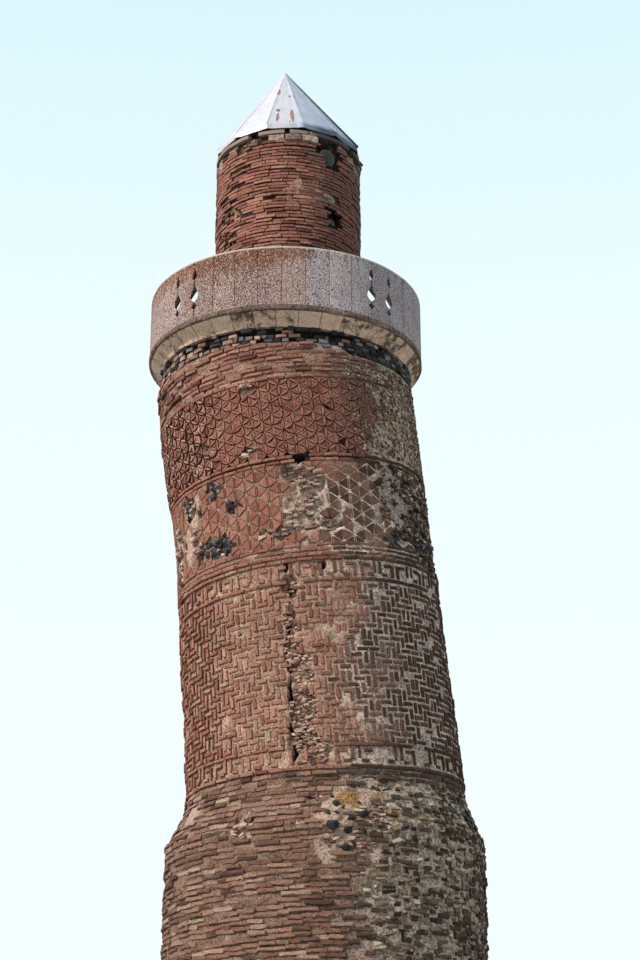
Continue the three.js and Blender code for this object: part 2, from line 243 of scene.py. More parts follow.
def plaster(azimuth, height):
    """1 where plaster or spilt mortar covers the wall."""
    return patches(azimuth, height, PLASTER, 0.35, wandering(azimuth, height))


def to_line(azimuth, height, line):
    """Distance in metres from a bent line on the shaft."""
    px, py = wrapped(azimuth) * AROUND, height
    best = np.full(np.broadcast(px, py).shape, 9.0)
    for (a0, y0), (a1, y1) in zip(line, line[1:]):
        x0, x1 = math.radians(a0) * AROUND, math.radians(a1) * AROUND
        t = np.clip(((px - x0) * (x1 - x0) + (py - y0) * (y1 - y0)) / math.hypot(x1 - x0, y1 - y0) ** 2, 0, 1)
        best = np.minimum(best, np.hypot(px - x0 - t * (x1 - x0), py - y0 - t * (y1 - y0)))
    return best


def opened(azimuth, height):
    """How deep the cracks and holes are here, in metres."""
    bend = 0.09 * (rough(azimuth, height, 0.17, 21) - 0.5) + 0.06 * (rough(azimuth, height, 0.07, 22) - 0.5)
    bent = azimuth + bend / AROUND
    width = 0.004 + 0.062 * rough(azimuth, height, 0.17, 3) ** 2
    deep = 0.16 * (1 - ramp(to_line(bent, height, CRACK) / width, 0.6, 1.2))
    thin = 0.08 * (1 - ramp(to_line(bent, height, BRANCH) / 0.018, 0.5, 1.3))
    slit = 0.12 * (1 - ramp(to_line(azimuth, height, SLIT) / 0.042, 0.5, 1.3))
    holes = patches(azimuth, height, HOLES, 0.15, 0.5 * wandering(azimuth, height))
    return np.maximum(np.maximum(deep, thin), np.maximum(slit, holes))


def standing(places):
    """The places where a brick is still in the wall and not under plaster."""
    places = np.asarray(places, float)
    here = places[:, 0], places[:, 1]
    return places[(loss(*here) <= 0.018) & (opened(*here) <= 0.02) & (plaster(*here) <= 0.55)]


def grime_and_shade(azimuth, height):
    """0 on the sunny left, 1 on the lichened right, whose darkness is partly dirt and partly painted shade.
    """
    turn = np.sin(azimuth - math.radians(4)) + 0.5 * (rough(azimuth, height, 0.9, 4) - 0.5)
    return ramp(turn + 0.25 * (rough(azimuth, height, 0.25, 8) - 0.5), 0.0, 0.55)


print("patches:", len(LOSSES), "lost,", len(PLASTER), "plastered")

# %% [markdown]
# ## Finishes
# Every material is a Principled shader whose colour comes from noise at the stone's real scale and from
# values that the meshes carry: tone and clay, a brick's own colour; grime, which darkens the right side of
# the tower partly as dirt and partly as painted shade; and rim, its edge behind the front, painted dark as
# shade.


# %% Colour mixing
class Mixer:
    """Mixes colours: each method adds a node and returns the output that carries its result. Colours are in
    thousandths of red, green and blue, and the places of colours on a ramp in hundredths."""

    def __init__(self, owner, shader):
        owner.use_nodes = True
        self.owner, self.tree = owner, owner.node_tree
        self.shader = self.tree.nodes[shader]

    def feed(self, node, values):
        """Links or sets inputs by name or number. A tuple is a colour."""
        for key, value in values.items():
            if isinstance(value, bpy.types.NodeSocket):
                self.tree.links.new(value, node.inputs[key])
            else:
                colour = isinstance(value, tuple)
                node.inputs[key].default_value = (*(v / 1000 for v in value), 1.0) if colour else value

    def node(self, kind, values=None, **settings):
        made = self.tree.nodes.new(kind)
        for key, value in settings.items():
            setattr(made, key, value)
        self.feed(made, values or {})
        return made.outputs

    def carried(self, name):
        """A value that the mesh carries at its points."""
        return self.node("ShaderNodeAttribute", attribute_name=name)["Fac"]

    def noise(self, scale, detail=4.0, roughness=0.6, stretch=None):
        """Noise in object space."""
        where = self.node("ShaderNodeTexCoord")["Object"]
        if stretch:
            where = self.node("ShaderNodeMapping", {"Vector": where, "Scale": stretch})["Vector"]
        values = {"Vector": where, "Scale": scale, "Detail": detail, "Roughness": roughness}
        return self.node("ShaderNodeTexNoise", values)["Fac"]

    def ramp(self, factor, *stops):
        """A colour ramp through stops of place, red, green and blue."""
        made = self.tree.nodes.new("ShaderNodeValToRGB")
        self.feed(made, {"Fac": factor})
        elements = made.color_ramp.elements
        for _ in stops[2:]:
            elements.new(0.5)
        for element, (place, *colour) in zip(elements, stops):
            element.position, element.color = place / 100, (*(v / 1000 for v in colour), 1.0)
        return made.outputs["Color"]

    def grey(self, factor, low, high, most=1000):
        """Black up to low, and that much white from high on."""
        return self.ramp(factor, (low, 0, 0, 0), (high, most, most, most))

    def blend(self, factor, first, second, how="MIX"):
        """Two colours mixed by a factor."""
        values = {0: factor, 6: first, 7: second}
        return self.node("ShaderNodeMix", values, data_type="RGBA", blend_type=how)[2]

    def maths(self, operation, first, second):
        return self.node("ShaderNodeMath", {0: first, 1: second}, operation=operation)[0]

    def times(self, first, second):
        return self.maths("MULTIPLY", first, second)

    def plus(self, total, *values):
        for value in values:
            total = self.maths("ADD", total, value)
        return total

    def swing(self, value, amount):
        """A noise value made to swing about zero by that amount."""
        return self.times(self.maths("SUBTRACT", value, 0.5), amount)

    def between(self, value, low, high, at_low=0.0, at_high=1.0):
        """Even change from one value at low to another at high."""
        ends = {"Value": value, "From Min": low, "From Max": high, "To Min": at_low, "To Max": at_high}
        return self.node("ShaderNodeMapRange", ends)["Result"]

    def paint(self, colour, height, distance, strength=1.0):
        """Gives the shader its colour and its bumps."""
        bump = self.node("ShaderNodeBump", {"Height": height, "Distance": distance, "Strength": strength})
        self.feed(self.shader, {"Base Color": colour, "Normal": bump["Normal"]})
        return self.owner


def finish(name, roughness=0.92, specular=0.25, metallic=0.0):
    """A mixer for a new material."""
    mixer = Mixer(bpy.data.materials.new(name), "Principled BSDF")
    mixer.feed(mixer.shader, {"Roughness": roughness, "Specular IOR Level": specular, "Metallic": metallic})
    return mixer


# %% Brick finishes
def brick_finish(name, soot_and_shade, haze, *kiln):
    """Tone picks a brick's colour from the kiln, lime hazes it in places, and grime turns it towards a
    near-black brown on the right, a darkening that is partly dirt and partly painted shade.
    """
    mix = finish(name, specular=0.2)
    tone = mix.plus(mix.carried("tone"), mix.swing(mix.noise(30, 5, 0.7), 0.7))
    own = mix.carried("clay")
    plain = [(place, 1000, 1000, 1000) for place in (30, 70)]
    clay = mix.ramp(own, (0, 1060, 900, 940), *plain, (88, 1000, 1070, 980), (100, 920, 1040, 920))
    baked = mix.blend(1.0, mix.ramp(tone, *kiln), clay, "MULTIPLY")
    fired = mix.blend(mix.grey(mix.noise(2.3), 50, 66, haze), baked, (270, 185, 140))
    liking = mix.plus(mix.swing(own, 0.5), 0.95)  # some bricks darken more than others
    grimed_and_shaded = mix.plus(mix.times(mix.carried("grime_and_shade"), liking), mix.swing(mix.noise(4.5), 0.9))
    dirty_and_shaded = mix.blend(mix.maths("MAXIMUM", grimed_and_shaded, 0.0), fired, soot_and_shade)
    speck = mix.ramp(mix.noise(48, 3), (33, 500, 470, 450), (64, 1250, 1220, 1200))
    # Painted shade: the rim behind the front is darkened nearly to black.
    edged = mix.blend(mix.carried("rim"), mix.blend(1.0, dirty_and_shaded, speck, "MULTIPLY"), (20, 11, 8))
    return mix.paint(edged, mix.noise(60, 6, 0.75), 0.006, 0.9)


BRICK = brick_finish(
    "old_brick", (36, 20, 16), 450,
    (0, 85, 33, 22), (30, 170, 67, 46), (60, 235, 104, 74), (85, 290, 155, 115), (100, 270, 175, 125),
)
RED_BRICK = brick_finish(
    "red_brick", (130, 62, 48), 150, (0, 80, 26, 18), (40, 195, 80, 58), (75, 262, 122, 92),
    (100, 310, 180, 140)
)
FOOT_BRICK = brick_finish(
    "foot_brick", (45, 30, 23), 250, (0, 50, 26, 19), (40, 130, 64, 46), (75, 190, 106, 79),
    (100, 260, 170, 135)
)

# %% [markdown]
# Mortar is what a ruin shows most. It is tan in the sun, pale grey where lichen sits, and nearly white
# where plaster has been thrown on, that plaster in a sunlit and a painted shaded colour. The mesh carries
# where each of these lies, its painted shade among them, and noise breaks their edges.

# %% Mortar finish
mix = finish("old_mortar", roughness=0.96, specular=0.15)
grimy_and_shaded = mix.carried("grime_and_shade")
cloud, crumbs = mix.noise(6, 6, 0.65), mix.noise(24, 6, 0.8)
warm = mix.ramp(cloud, (30, 140, 86, 62), (50, 260, 172, 128), (70, 360, 260, 200))
cool = mix.ramp(cloud, (30, 150, 108, 90), (50, 420, 330, 280), (70, 570, 475, 420))
pitted = mix.plus(mix.noise(33, 4, 0.75), mix.times(grimy_and_shaded, -0.02))
chips = mix.ramp(pitted, (38, 200, 170, 150), (54, 1300, 1260, 1220))
gritty = mix.blend(0.9, mix.blend(grimy_and_shaded, warm, cool), chips, "MULTIPLY")
# Painted light and shade: a sunlit and a shaded colour of the plaster, mixed by grime, which is partly
# painted shade.
sunlit = mix.ramp(crumbs, (38, 60, 38, 27), (46, 270, 180, 138), (66, 480, 355, 285))
shaded = mix.ramp(crumbs, (42, 50, 36, 30), (50, 270, 210, 185), (66, 520, 430, 400))
grown = mix.ramp(crumbs, (40, 30, 26, 13), (47, 110, 80, 34), (54, 270, 125, 37), (68, 370, 270, 160))
edged = mix.plus(mix.carried("plaster"), mix.swing(crumbs, 1.3))
limed = mix.blend(mix.grey(edged, 35, 65), gritty, mix.blend(grimy_and_shaded, sunlit, shaded))
tufted = mix.plus(mix.carried("lichen"), mix.swing(mix.noise(13, 5, 0.75), 2.3))
covered = mix.blend(mix.grey(tufted, 40, 75), limed, grown)
# Painted shade: the shade value darkens the mortar nearly to black in open cracks, holes and dark joints.
MORTAR = mix.paint(mix.blend(mix.carried("shade"), covered, (6, 4, 3)), mix.noise(40, 8, 0.8), 0.02)


# %% Stone finishes
def stone_finish(name, *stops, grain=30.0, speckle=0.6, bump=0.008, shadow=(550, 540, 530), cloud=3.0):
    """A ramp picks the colour from a stone's tone and a wide cloud, and its grain darkens and lightens it."""
    mix = finish(name)
    grains = mix.noise(grain, 6, 0.7)
    tone = mix.plus(mix.carried("tone"), mix.swing(mix.noise(cloud), 0.9))
    speck = mix.ramp(grains, (35, *shadow), (65, 1200, 1180, 1160))
    speckled = mix.blend(speckle, mix.ramp(tone, *stops), speck, "MULTIPLY")
    # Painted shade: the rim behind the front is darkened nearly to black.
    return mix.paint(mix.blend(mix.carried("rim"), speckled, (20, 14, 10)), grains, bump)


BASALT = stone_finish("basalt", (0, 6, 6, 7), (60, 24, 25, 29), (100, 120, 118, 118))
BROKEN_BRICK, RUBBLE, FOOT_STONE = (
    stone_finish(name, *stops, cloud=9.0)
    for name, *stops in (
        ("broken_brick", (0, 70, 35, 28), (30, 200, 105, 80), (60, 320, 195, 150), (100, 450, 320, 250)),
        ("rubble", (0, 90, 50, 38), (30, 210, 130, 100), (60, 320, 220, 175), (100, 430, 330, 280)),
        ("foot_stone", (0, 18, 13, 9), (35, 102, 70, 45), (65, 215, 158, 105), (100, 430, 350, 270)),
    )
)
CUT_STONE = stone_finish("cut_stone", (0, 100, 78, 55), (50, 205, 165, 120), (100, 310, 260, 195), grain=18)
CORNICE_STONE = stone_finish(
    "cornice_stone", (0, 30, 20, 14), (40, 100, 65, 46), (46, 270, 183, 134), (53, 420, 297, 218),
    (100, 540, 400, 310), grain=26, speckle=0.7, cloud=6.5,
)
LEDGE_STONE = stone_finish(
    "ledge_stone", (0, 25, 15, 12), (50, 150, 104, 85), (100, 360, 285, 245),
    grain=24, speckle=1.0, bump=0.02, shadow=(250, 200, 180),
)

# %% Parapet stone
mix = finish("parapet_stone", roughness=0.95, specular=0.2)
grimy_and_shaded = mix.carried("grime_and_shade")
across, _, height = mix.node("ShaderNodeSeparateXYZ", {0: mix.node("ShaderNodeTexCoord")["Object"]})
cloud = mix.plus(mix.carried("tone"), mix.swing(mix.noise(3, 5), 0.9))
sunny = mix.ramp(cloud, (10, 175, 100, 82), (50, 280, 187, 164), (90, 360, 275, 250))
shady = mix.ramp(cloud, (10, 180, 150, 160), (50, 285, 242, 260), (90, 370, 330, 350))
# Painted light and shade: a sunny and a shady colour of the stone, mixed by grime, which is partly painted
# shade.
base = mix.blend(mix.between(grimy_and_shaded, 0, 0.5, 0.15), sunny, shady)
leftwards, outermost = mix.between(across, 0, -1.2, -0.15, 0.4), mix.between(across, -1.9, -2.6, 0, -0.35)
# The brown under the top edge is strongest on the left.
clear = mix.plus(mix.times(grimy_and_shaded, -0.25), leftwards, outermost)
stain = mix.plus(
    mix.between(height, 15.20, 15.74), clear, mix.swing(mix.noise(11, 6, 0.75, [1, 1, 0.35]), 2.8)
)
# The stain turns from rust-orange on the left to near black on the right, darkened by grime, which is partly
# painted shade.
stained = mix.blend(mix.grey(stain, 55, 85, 950), base, mix.blend(grimy_and_shaded, (170, 70, 37), (55, 30, 22)))
pitted = mix.plus(mix.noise(48, 3, 0.65), mix.times(clear, -0.06))
pits = mix.ramp(pitted, (43, 130, 85, 73), (50, 1000, 1000, 1000))
spots = mix.blend(mix.grey(mix.noise(33, 3), 52, 60, 550), stained, (420, 355, 335))
rimmed = mix.blend(
    mix.between(height, 15.72, 15.75), mix.blend(0.95, spots, pits, "MULTIPLY"), (420, 385, 360)
)
PARAPET_STONE = mix.paint(rimmed, mix.noise(30, 5, 0.7), 0.020)
print("finishes:", len(bpy.data.materials))

# %% [markdown]
# ## Laying bricks
# A brick is shaped once, with bmesh, and laid thousands of times: its points are copied as arrays, turned,
# stretched, made a little crooked and bent onto the wall. All the bricks of a band make one mesh.

# %% Shapes to lay
rng = np.random.default_rng(20)
VERT, EDGE, FACE = bmesh.types.BMVert, bmesh.types.BMEdge, bmesh.types.BMFace


def only(kind, geometry):
    return [g for g in geometry if isinstance(g, kind)]


def finished(bm):
    """The points and faces of a shape, outwards by the right-hand rule."""
    bmesh.ops.recalc_face_normals(bm, faces=bm.faces)
    bm.verts.index_update()
    points = np.array([v.co[:] for v in bm.verts])
    faces = [[v.index for v in face.verts] for face in bm.faces]
    bm.free()
    return points, faces


def cut(bm, place, normal=(1, 0, 0)):
    every = bm.verts[:] + bm.edges[:] + bm.faces[:]
    bmesh.ops.bisect_plane(bm, geom=every, dist=1e-6, plane_co=place, plane_no=normal)


def soften(bm, edges, by, segments=1, clamp=False):
    shape = {"segments": segments, "profile": 0.5, "affect": "EDGES", "material": -1, "clamp_overlap": clamp}
    bmesh.ops.bevel(bm, geom=edges, offset=by, **shape)


def extrude(bm, faces, by):
    """Extrudes faces by a vector, and returns what is new."""
    grown = bmesh.ops.extrude_face_region(bm, geom=faces)["geom"]
    bmesh.ops.translate(bm, vec=by, verts=only(VERT, grown))
    return grown


def sink_rim(bm, fronts, rim, by):
    """Sinks the outline of inset fronts, which softens their edges."""
    inner = {v for face in fronts for v in face.verts}
    outer = {v for face in rim for v in face.verts} - inner
    bmesh.ops.translate(bm, vec=(0, 0, -by), verts=list(outer))


def brick_shape(length, thickness, depth=0.07, edge=0.007, cuts=()):
    """A brick: X along the wall, Y up, Z out with its front at zero. The cuts let it bend round a wall."""
    bm = bmesh.new()
    bmesh.ops.create_cube(bm, size=1.0)
    bmesh.ops.scale(bm, vec=(length, thickness, depth), verts=bm.verts)
    bmesh.ops.translate(bm, vec=(0, 0, -depth / 2), verts=bm.verts)
    soften(bm, [e for e in bm.edges if all(v.co.z > -1e-6 for v in e.verts)], edge, clamp=True)
    for x in cuts:
        cut(bm, (x, 0, 0))
    return finished(bm)


def tile_shape(outline, depth=0.05, edge=0.006, cuts=(), behind=()):
    """A tile with that outline. Its back may have its own outline, point for point."""
    bm = bmesh.new()
    back = bm.faces.new([bm.verts.new((x, y, -depth)) for x, y in outline])
    front = only(FACE, extrude(bm, [back], (0, 0, depth)))
    sink_rim(bm, front, bmesh.ops.inset_region(bm, faces=front, thickness=edge)["faces"], edge)
    for vert, place in zip([v for v in bm.verts if v.co.z < 0.01 - depth], behind):
        vert.co.xy = place
    for x in cuts:
        cut(bm, (x, 0, 0))
    return finished(bm)


# %% Laying
def as_piece(name, source, material, values=None, solids=()):
    """A piece of the building from a mesh, a bmesh, or points and faces. values are what its points carry,
    and solids the bare solids that it stands for."""
    mesh = source if isinstance(source, bpy.types.Mesh) else bpy.data.meshes.new(name)
    if isinstance(source, tuple):
        mesh.from_pydata(source[0], [], source[1])
    elif mesh is not source:
        source.to_mesh(mesh)
        source.free()
    for key, value in (values or {}).items():
        layer = mesh.attributes.new(key, "FLOAT", "POINT")
        layer.data.foreach_set("value", np.ascontiguousarray(value, dtype=np.float32))
    mesh.materials.append(material)
    piece = placed(name, mesh)
    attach(piece, "root")
    if solids:
        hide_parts(*solids)
    print(f"{name}: {len(mesh.polygons)} faces")
    return piece


def lay(
    name, shape, places, material, on=SHAFT,
    crooked=0.003, rim_shade=0.4, dents=0.5, within=(0, 99), solids=(),
):
    """Lays a shape at many places on a wall. A place is azimuth, height, stretch along, stretch up, turn in
    degrees, how far it stands out, and tone. dirt darkens what lies behind the front, as painted shade in the
    joints, dents is how crooked the front is, and what would reach beyond the heights within is cut off."""
    (points, faces), (wall, around) = shape, on
    places = np.asarray(places, float)
    count, corners = len(places), len(points)
    azimuth, height, along, up, turn, out, tone = (places[:, k][:, None] for k in range(7))
    wobble = rng.normal(0.0, crooked, (count, corners, 3))
    x = points[None, :, 0] * along + wobble[..., 0]
    y = points[None, :, 1] * up + wobble[..., 1]
    z = points[None, :, 2] * np.sqrt(along * up) + dents * wobble[..., 2]
    turn = np.radians(turn)
    rise = x * np.sin(turn) + y * np.cos(turn)
    where = wall(
        azimuth + (x * np.cos(turn) - y * np.sin(turn)) / around, np.clip(height + rise, *within), out + z
    )
    every = [[v + base for v in face] for base in range(0, count * corners, corners) for face in faces]
    values = {
        "tone": np.repeat(tone, corners),
        "grime_and_shade": np.repeat(grime_and_shade(azimuth, height), corners),
        # Painted shade: rim darkens what lies behind the front, in the joints.
        "rim": np.tile(rim_shade * (points[:, 2] < -0.003), count),
        "clay": np.repeat(rng.random(count), corners),
    }
    return as_piece(name, (where.reshape(-1, 3), every), material, values, solids)


def course(
    height, brick, first=0.0, joint=0.012, around=AROUND, tone=(0.5, 0.18), out=0.004, skew=None, spread=0.08
):
    """Places for a ring of bricks. Lengths differ by the spread, and chance is in every measure."""
    count = round(2 * math.pi * around / (brick + joint))
    shares = rng.uniform(1 - spread, 1 + spread, count)
    shares *= 2 * math.pi / shares.sum()
    azimuth = wrapped(first + np.cumsum(shares) - shares / 2)
    height = height + (skew(azimuth) if skew else 0.0) + rng.normal(0, 0.003, count)
    along = (shares * around - joint * rng.uniform(0.6, 1.4, count)) / brick
    up, turn = rng.uniform(0.88, 1.08, count), rng.normal(0, 1.0, count)
    return np.stack(
        [azimuth, height, along, up, turn, rng.normal(0, out, count), rng.normal(*tone, count)], axis=-1
    )


# %% [markdown]
# ## Mortar beds
# Behind the bricks lies the mortar, and in the losses the rubble core. Each band's bed is one closed tube
# as thick as the wall: a flat grid, rolled up and extruded inwards, whose points ask the damage map how far
# they have sunk.


# %% The bed tool
def quarters(band):
    return [f"{band}_{side}" for side in ("front", "right", "back", "left")]


def even(value):
    return lambda azimuth, height: value + 0.0 * azimuth


def bed(
    name, span, grid, joint, soot_and_shade, solids, wall=shaft, inside=inside_shaft, crowd=0.46, doors=(), breaks=()
):
    """A band's mortar: span is its lowest and highest height, grid its cells around and up, joint how far the
    mortar lies behind the bricks and soot how dark it is there, as painted shade in the joints. crowd
    draws the cells together towards the front, where the fine cracks are. Doors are cut straight and breaks
    are cut ragged."""
    low, high = span
    full = 2 * math.pi

    def azimuth_at(x):
        return (x + 0.25) * full - crowd * math.sin((x + 0.25) * full)

    bm = bmesh.new()
    bmesh.ops.create_grid(bm, x_segments=grid[0], y_segments=grid[1], size=0.5)
    for middle, half, _, head in doors:
        cut(bm, ((middle - half) / full - 0.25, 0, 0))
        cut(bm, ((middle + half) / full - 0.25, 0, 0))
        cut(bm, (0, (head - low) / (high - low) - 0.5, 0), (0, 1, 0))
    gone = []
    for face in bm.faces:
        centre = face.calc_center_median()
        azimuth, height = azimuth_at(centre.x), low + (centre.y + 0.5) * (high - low)
        through = any(abs(azimuth - m) < h and f < height < t for m, h, f, t in doors)
        if through or any(float(from_patch(azimuth, height, patch)) < 1 for patch in breaks):
            gone.append(face)
    bmesh.ops.delete(bm, geom=gone, context="FACES")
    for vert in bm.verts:
        azimuth = azimuth_at(vert.co.x)
        vert.co = (math.sin(azimuth), -math.cos(azimuth), vert.co.y)
    bmesh.ops.remove_doubles(bm, verts=bm.verts, dist=1e-5)
    if gone:
        inner = bmesh.ops.extrude_face_region(bm, geom=bm.faces[:])["geom"]
    else:
        inner = bmesh.ops.extrude_edge_only(bm, edges=[e for e in bm.edges if e.is_boundary])["geom"]
    bmesh.ops.transform(bm, matrix=Matrix.Diagonal((0.5, 0.5, 1.0, 1.0)), verts=only(VERT, inner))
    rims = [edge for edge in bm.edges if edge.is_boundary]
    if rims:  # an unseen inner wall needs few cells
        upright = bmesh.ops.bridge_loops(bm, edges=rims)["edges"]
        bmesh.ops.subdivide_edges(bm, edges=upright, cuts=7, use_grid_fill=True)
    points, faces = finished(bm)
    x, y, z = points.T
    azimuth, height = np.arctan2(x, -y), low + (z + 0.5) * (high - low)
    is_front = np.hypot(x, y) > 0.75
    limed, deep, open_ = plaster(azimuth, height), loss(azimuth, height), opened(azimuth, height)
    torn = np.minimum(deep / 0.04, 1.0)
    crumble = 0.045 * (rough(azimuth, height, 0.11, 6) - 0.5) + 0.03 * (rough(azimuth, height, 0.06, 5) - 0.5)
    sink = joint(azimuth, height) * (1 - 0.9 * limed) + 0.006 * (rough(azimuth, height, 0.08, 9) - 0.5)
    sink = np.maximum(sink + deep + torn * crumble, 0.002) + open_
    places = np.where(is_front[:, None], wall(azimuth, height, -sink), inside(azimuth, height))
    # Painted shade: the joints are darkened by the band's soot value, less under plaster, near black in open
    # cracks and holes, and dark between the stones of the losses on the right.
    core_shade = 0.8 * torn * ramp(azimuth, 0.75, 0.95) * (1 - limed)
    joint_shade = soot_and_shade(azimuth, height) * (1 - limed) * (1 - torn) + core_shade
    values = {
        "grime_and_shade": grime_and_shade(azimuth, height) * is_front,
        "plaster": np.where(is_front, limed, 0.4),
        "lichen": patches(azimuth, height, LICHEN, 0.6, wandering(azimuth, height)) * is_front,
        "shade": np.maximum(ramp(open_, 0.02, 0.10), joint_shade) * is_front,
    }
    as_piece(name, (places, faces), MORTAR, values, solids).data.shade_smooth()


# %% [markdown]
# ## The patterned field
# The field is basket work: standing and lying bricks step down from an apex and meet in a valley, seventeen
# times round the tower. One unit is a brick's thickness and its joint, and a row's place in its column
# tells whether the brick there stands or lies.

# %% Field
PERIODS, COLUMNS = 17, 4
UNIT, ROW = 2 * math.pi / PERIODS / 8, 0.092
FIELD_LOW, FIELD_HIGH = 7.545, 10.035


def any_brick(azimuth, height, along=1.0, up=1.0, turn=0.0, tone=0.5):
    """A place with the small differences that hand-made bricks have."""
    azimuth, height = azimuth + rng.normal(0, 0.0012), height + rng.normal(0, 0.0025)
    along, up = along * rng.uniform(0.93, 1.05), up * rng.uniform(0.93, 1.06)
    turn, out = turn + rng.normal(0, 1.8), rng.normal(0.0, 0.005)
    return azimuth, height, along, up, turn, out, rng.normal(tone, 0.21)


def weathered_out(places):
    """On the far left the joints are washed deep, and every brick stands out in its own way."""
    places = standing(places)
    places[:, 5] += ramp(-np.sin(places[:, 0]), 0.72, 0.95) * rng.normal(0.005, 0.009, len(places))
    return places


upright_bricks, lying_bricks = [], []
for period, side, column, row in product(range(PERIODS), (-1, 1), range(COLUMNS), range(-5, 24)):
    apex = math.radians(0.6) + period * 8 * UNIT
    step, top = (row - column) % 4, 9.65 - row * ROW
    head, foot = min(top - 0.017, FIELD_HIGH), max(top - 2 * ROW + 0.012, FIELD_LOW)
    if step == 0 and head - foot > 0.06:
        azimuth = apex + side * (column + 0.5) * UNIT
        upright_bricks.append(any_brick(azimuth, (head + foot) / 2, up=(head - foot) / 0.155))
    elif step and FIELD_LOW < top - ROW / 2 < FIELD_HIGH:
        if step == 3 and (column < 3 or side == 1):
            lying_bricks.append(any_brick(apex + side * (column + 1) * UNIT, top - ROW / 2))
        elif step == 2 and column == 0 and side == 1:
            lying_bricks.append(any_brick(apex, top - ROW / 2))
upright = brick_shape(0.060, 0.155, edge=0.009)
lying = brick_shape(0.170, 0.054, edge=0.009, cuts=(-0.03, 0.03))
lay("field_upright_bricks", upright, weathered_out(upright_bricks), BRICK, crooked=0.0045)
lay("field_lying_bricks", lying, weathered_out(lying_bricks), BRICK, crooked=0.0045)

# %% [markdown]
# ## Friezes and rings
# Above and below the field runs a frieze of interlocked hooks. Each hook is two bricks, and every other
# pair of hooks is a mirror image. Plain rings part the bands from each other.

# %% Friezes and rings
MOTIFS = 40
motif_width = 2 * math.pi * AROUND / MOTIFS
HOOKS = table_of(  # from the motif's corner: across and up in metres, length along and up in hundredths
    (0.06, 0.12, 5, 20.5), (0.15, 0.195, 12.5, 5), (0.285, 0.165, 5, 20.5), (0.205, 0.045, 11.5, 5)
)
hooks = []
for foot, motif, (across, up, along, rise) in product((7.215, 10.12), range(MOTIFS), HOOKS):
    start = math.radians(12.1) + motif * motif_width / AROUND
    across = across if motif % 2 else motif_width - across
    hooks.append(any_brick(start + across / AROUND, foot + up, along / 0.1, rise / 0.1, tone=0.45))
lay("frieze_bricks", brick_shape(0.1, 0.1, edge=0.01), standing(hooks), BRICK)

RINGS = [  # height of a single course of long bricks, and how far it stands out
    (7.172, 0.010), (7.500, 0.008), (10.078, 0.008), (10.420, 0.010), (10.495, 0.012),
    (10.575, 0.002), (10.655, 0.010), (12.062, 0.012), (12.138, 0.016), (13.492, 0.014),
]
rings = []
for height, proud in RINGS:
    ring = course(height, 0.235, first=rng.uniform(0, 1), tone=(0.42, 0.15))
    ring[:, 5] += proud
    rings.append(ring)


def worn_off(places):
    """Sinks what stands above the star band on its worn right side into the mortar."""
    azimuth, height = places[:, 0], places[:, 1]
    edge = 0.50 + 0.18 * ramp(height, 12.3, 13.2) + 0.5 * (rough(azimuth, height, 0.2, 43) - 0.5)
    likely = ramp(azimuth, edge - 0.10, edge + 0.16) * ramp(
        1.7 + rough(azimuth, height, 0.3, 45) - azimuth, 0.0, 0.4
    )
    worn = rng.random(len(places)) < likely * (height > 12.16)
    places[:, 5] -= worn * rng.uniform(0.01, 0.05, len(places))
    return places


ring_shape = brick_shape(0.235, 0.052, edge=0.009, cuts=(-0.06, 0.0, 0.06))
lay("ring_bricks", ring_shape, worn_off(standing(np.concatenate(rings))), BRICK)

# %% [markdown]
# ## The star band
# Triangles of brick, point to point, make six-rayed stars of mortar at every meeting. The lattice has
# upright edges, and a thin rib of brick stands on each of them.

# %% Star band
STAR_COLUMNS, STAR_ROW = 72, 0.244
STAR_LOW, STAR_HIGH = 10.70, 12.02
STAR_TRIANGLE = [
    (0.017, -0.089), (0.026, -0.096), (0.161, -0.009), (0.168, 0), (0.161, 0.009), (0.026, 0.096),
    (0.017, 0.089)
]
STAR_RIB = [(0.008, -0.08), (0.010, 0), (0.008, 0.08), (-0.008, 0.08), (-0.010, 0), (-0.008, -0.08)]
star_centre = 2 * math.pi * AROUND / STAR_COLUMNS * 0.38


def lattice(columns, row, low, high, offset):
    """Points of a triangle lattice with upright edges, in columns round the wall."""
    for column in range(columns):
        for step in range(-1, round((high - low) / row) + 2):
            yield 2 * math.pi * column / columns + offset, high - (step + 0.5 * (column % 2)) * row


triangles, ribs = [], []
for azimuth, height in lattice(STAR_COLUMNS, STAR_ROW, STAR_LOW, STAR_HIGH, 0.02):
    middle = height - STAR_ROW / 2
    if STAR_LOW - 0.04 < middle < STAR_HIGH + 0.04:
        ribs.append(any_brick(azimuth, middle, tone=0.35))
        triangles.append(any_brick(azimuth + star_centre / AROUND, middle, tone=0.42))
        triangles.append(any_brick(azimuth - star_centre / AROUND, middle, turn=180, tone=0.42))
triangles, ribs = standing(triangles), standing(ribs)
# On the right wide mortar joints part the triangles.
pointed = 1 - 0.04 * ramp(np.sin(triangles[:, 0]), 0.08, 0.2)
triangles[:, 2:4] = np.clip(triangles[:, 2:4], 0.97, 1.02) * pointed[:, None]
for tiles, usual in ((triangles, 0.38), (ribs, 0.32)):
    tiles[:, 6] = usual + 0.45 * (tiles[:, 6] - 0.42) + 0.40 * ramp(np.sin(tiles[:, 0]), 0.2, 0.48)
    tiles[:, 5] = np.maximum(tiles[:, 5], 0.003 * ramp(np.sin(tiles[:, 0]), 0.02, 0.1))
triangle = tile_shape([(x - star_centre, y) for x, y in STAR_TRIANGLE])
lay("star_triangles", triangle, triangles, BRICK, crooked=0.002, dents=0.1, within=(10.686, 12.032))
lay("star_ribs", tile_shape(STAR_RIB, edge=0.004), ribs, BRICK, crooked=0.0015, within=(10.686, 12.032))

# %% [markdown]
# ## The rosette band
# A finer lattice carries a petal on every edge, so six petals meet at each point, and a brick with three
# hollow sides fills every cell between them. The joints are thin, and their mortar is painted dark as shade.

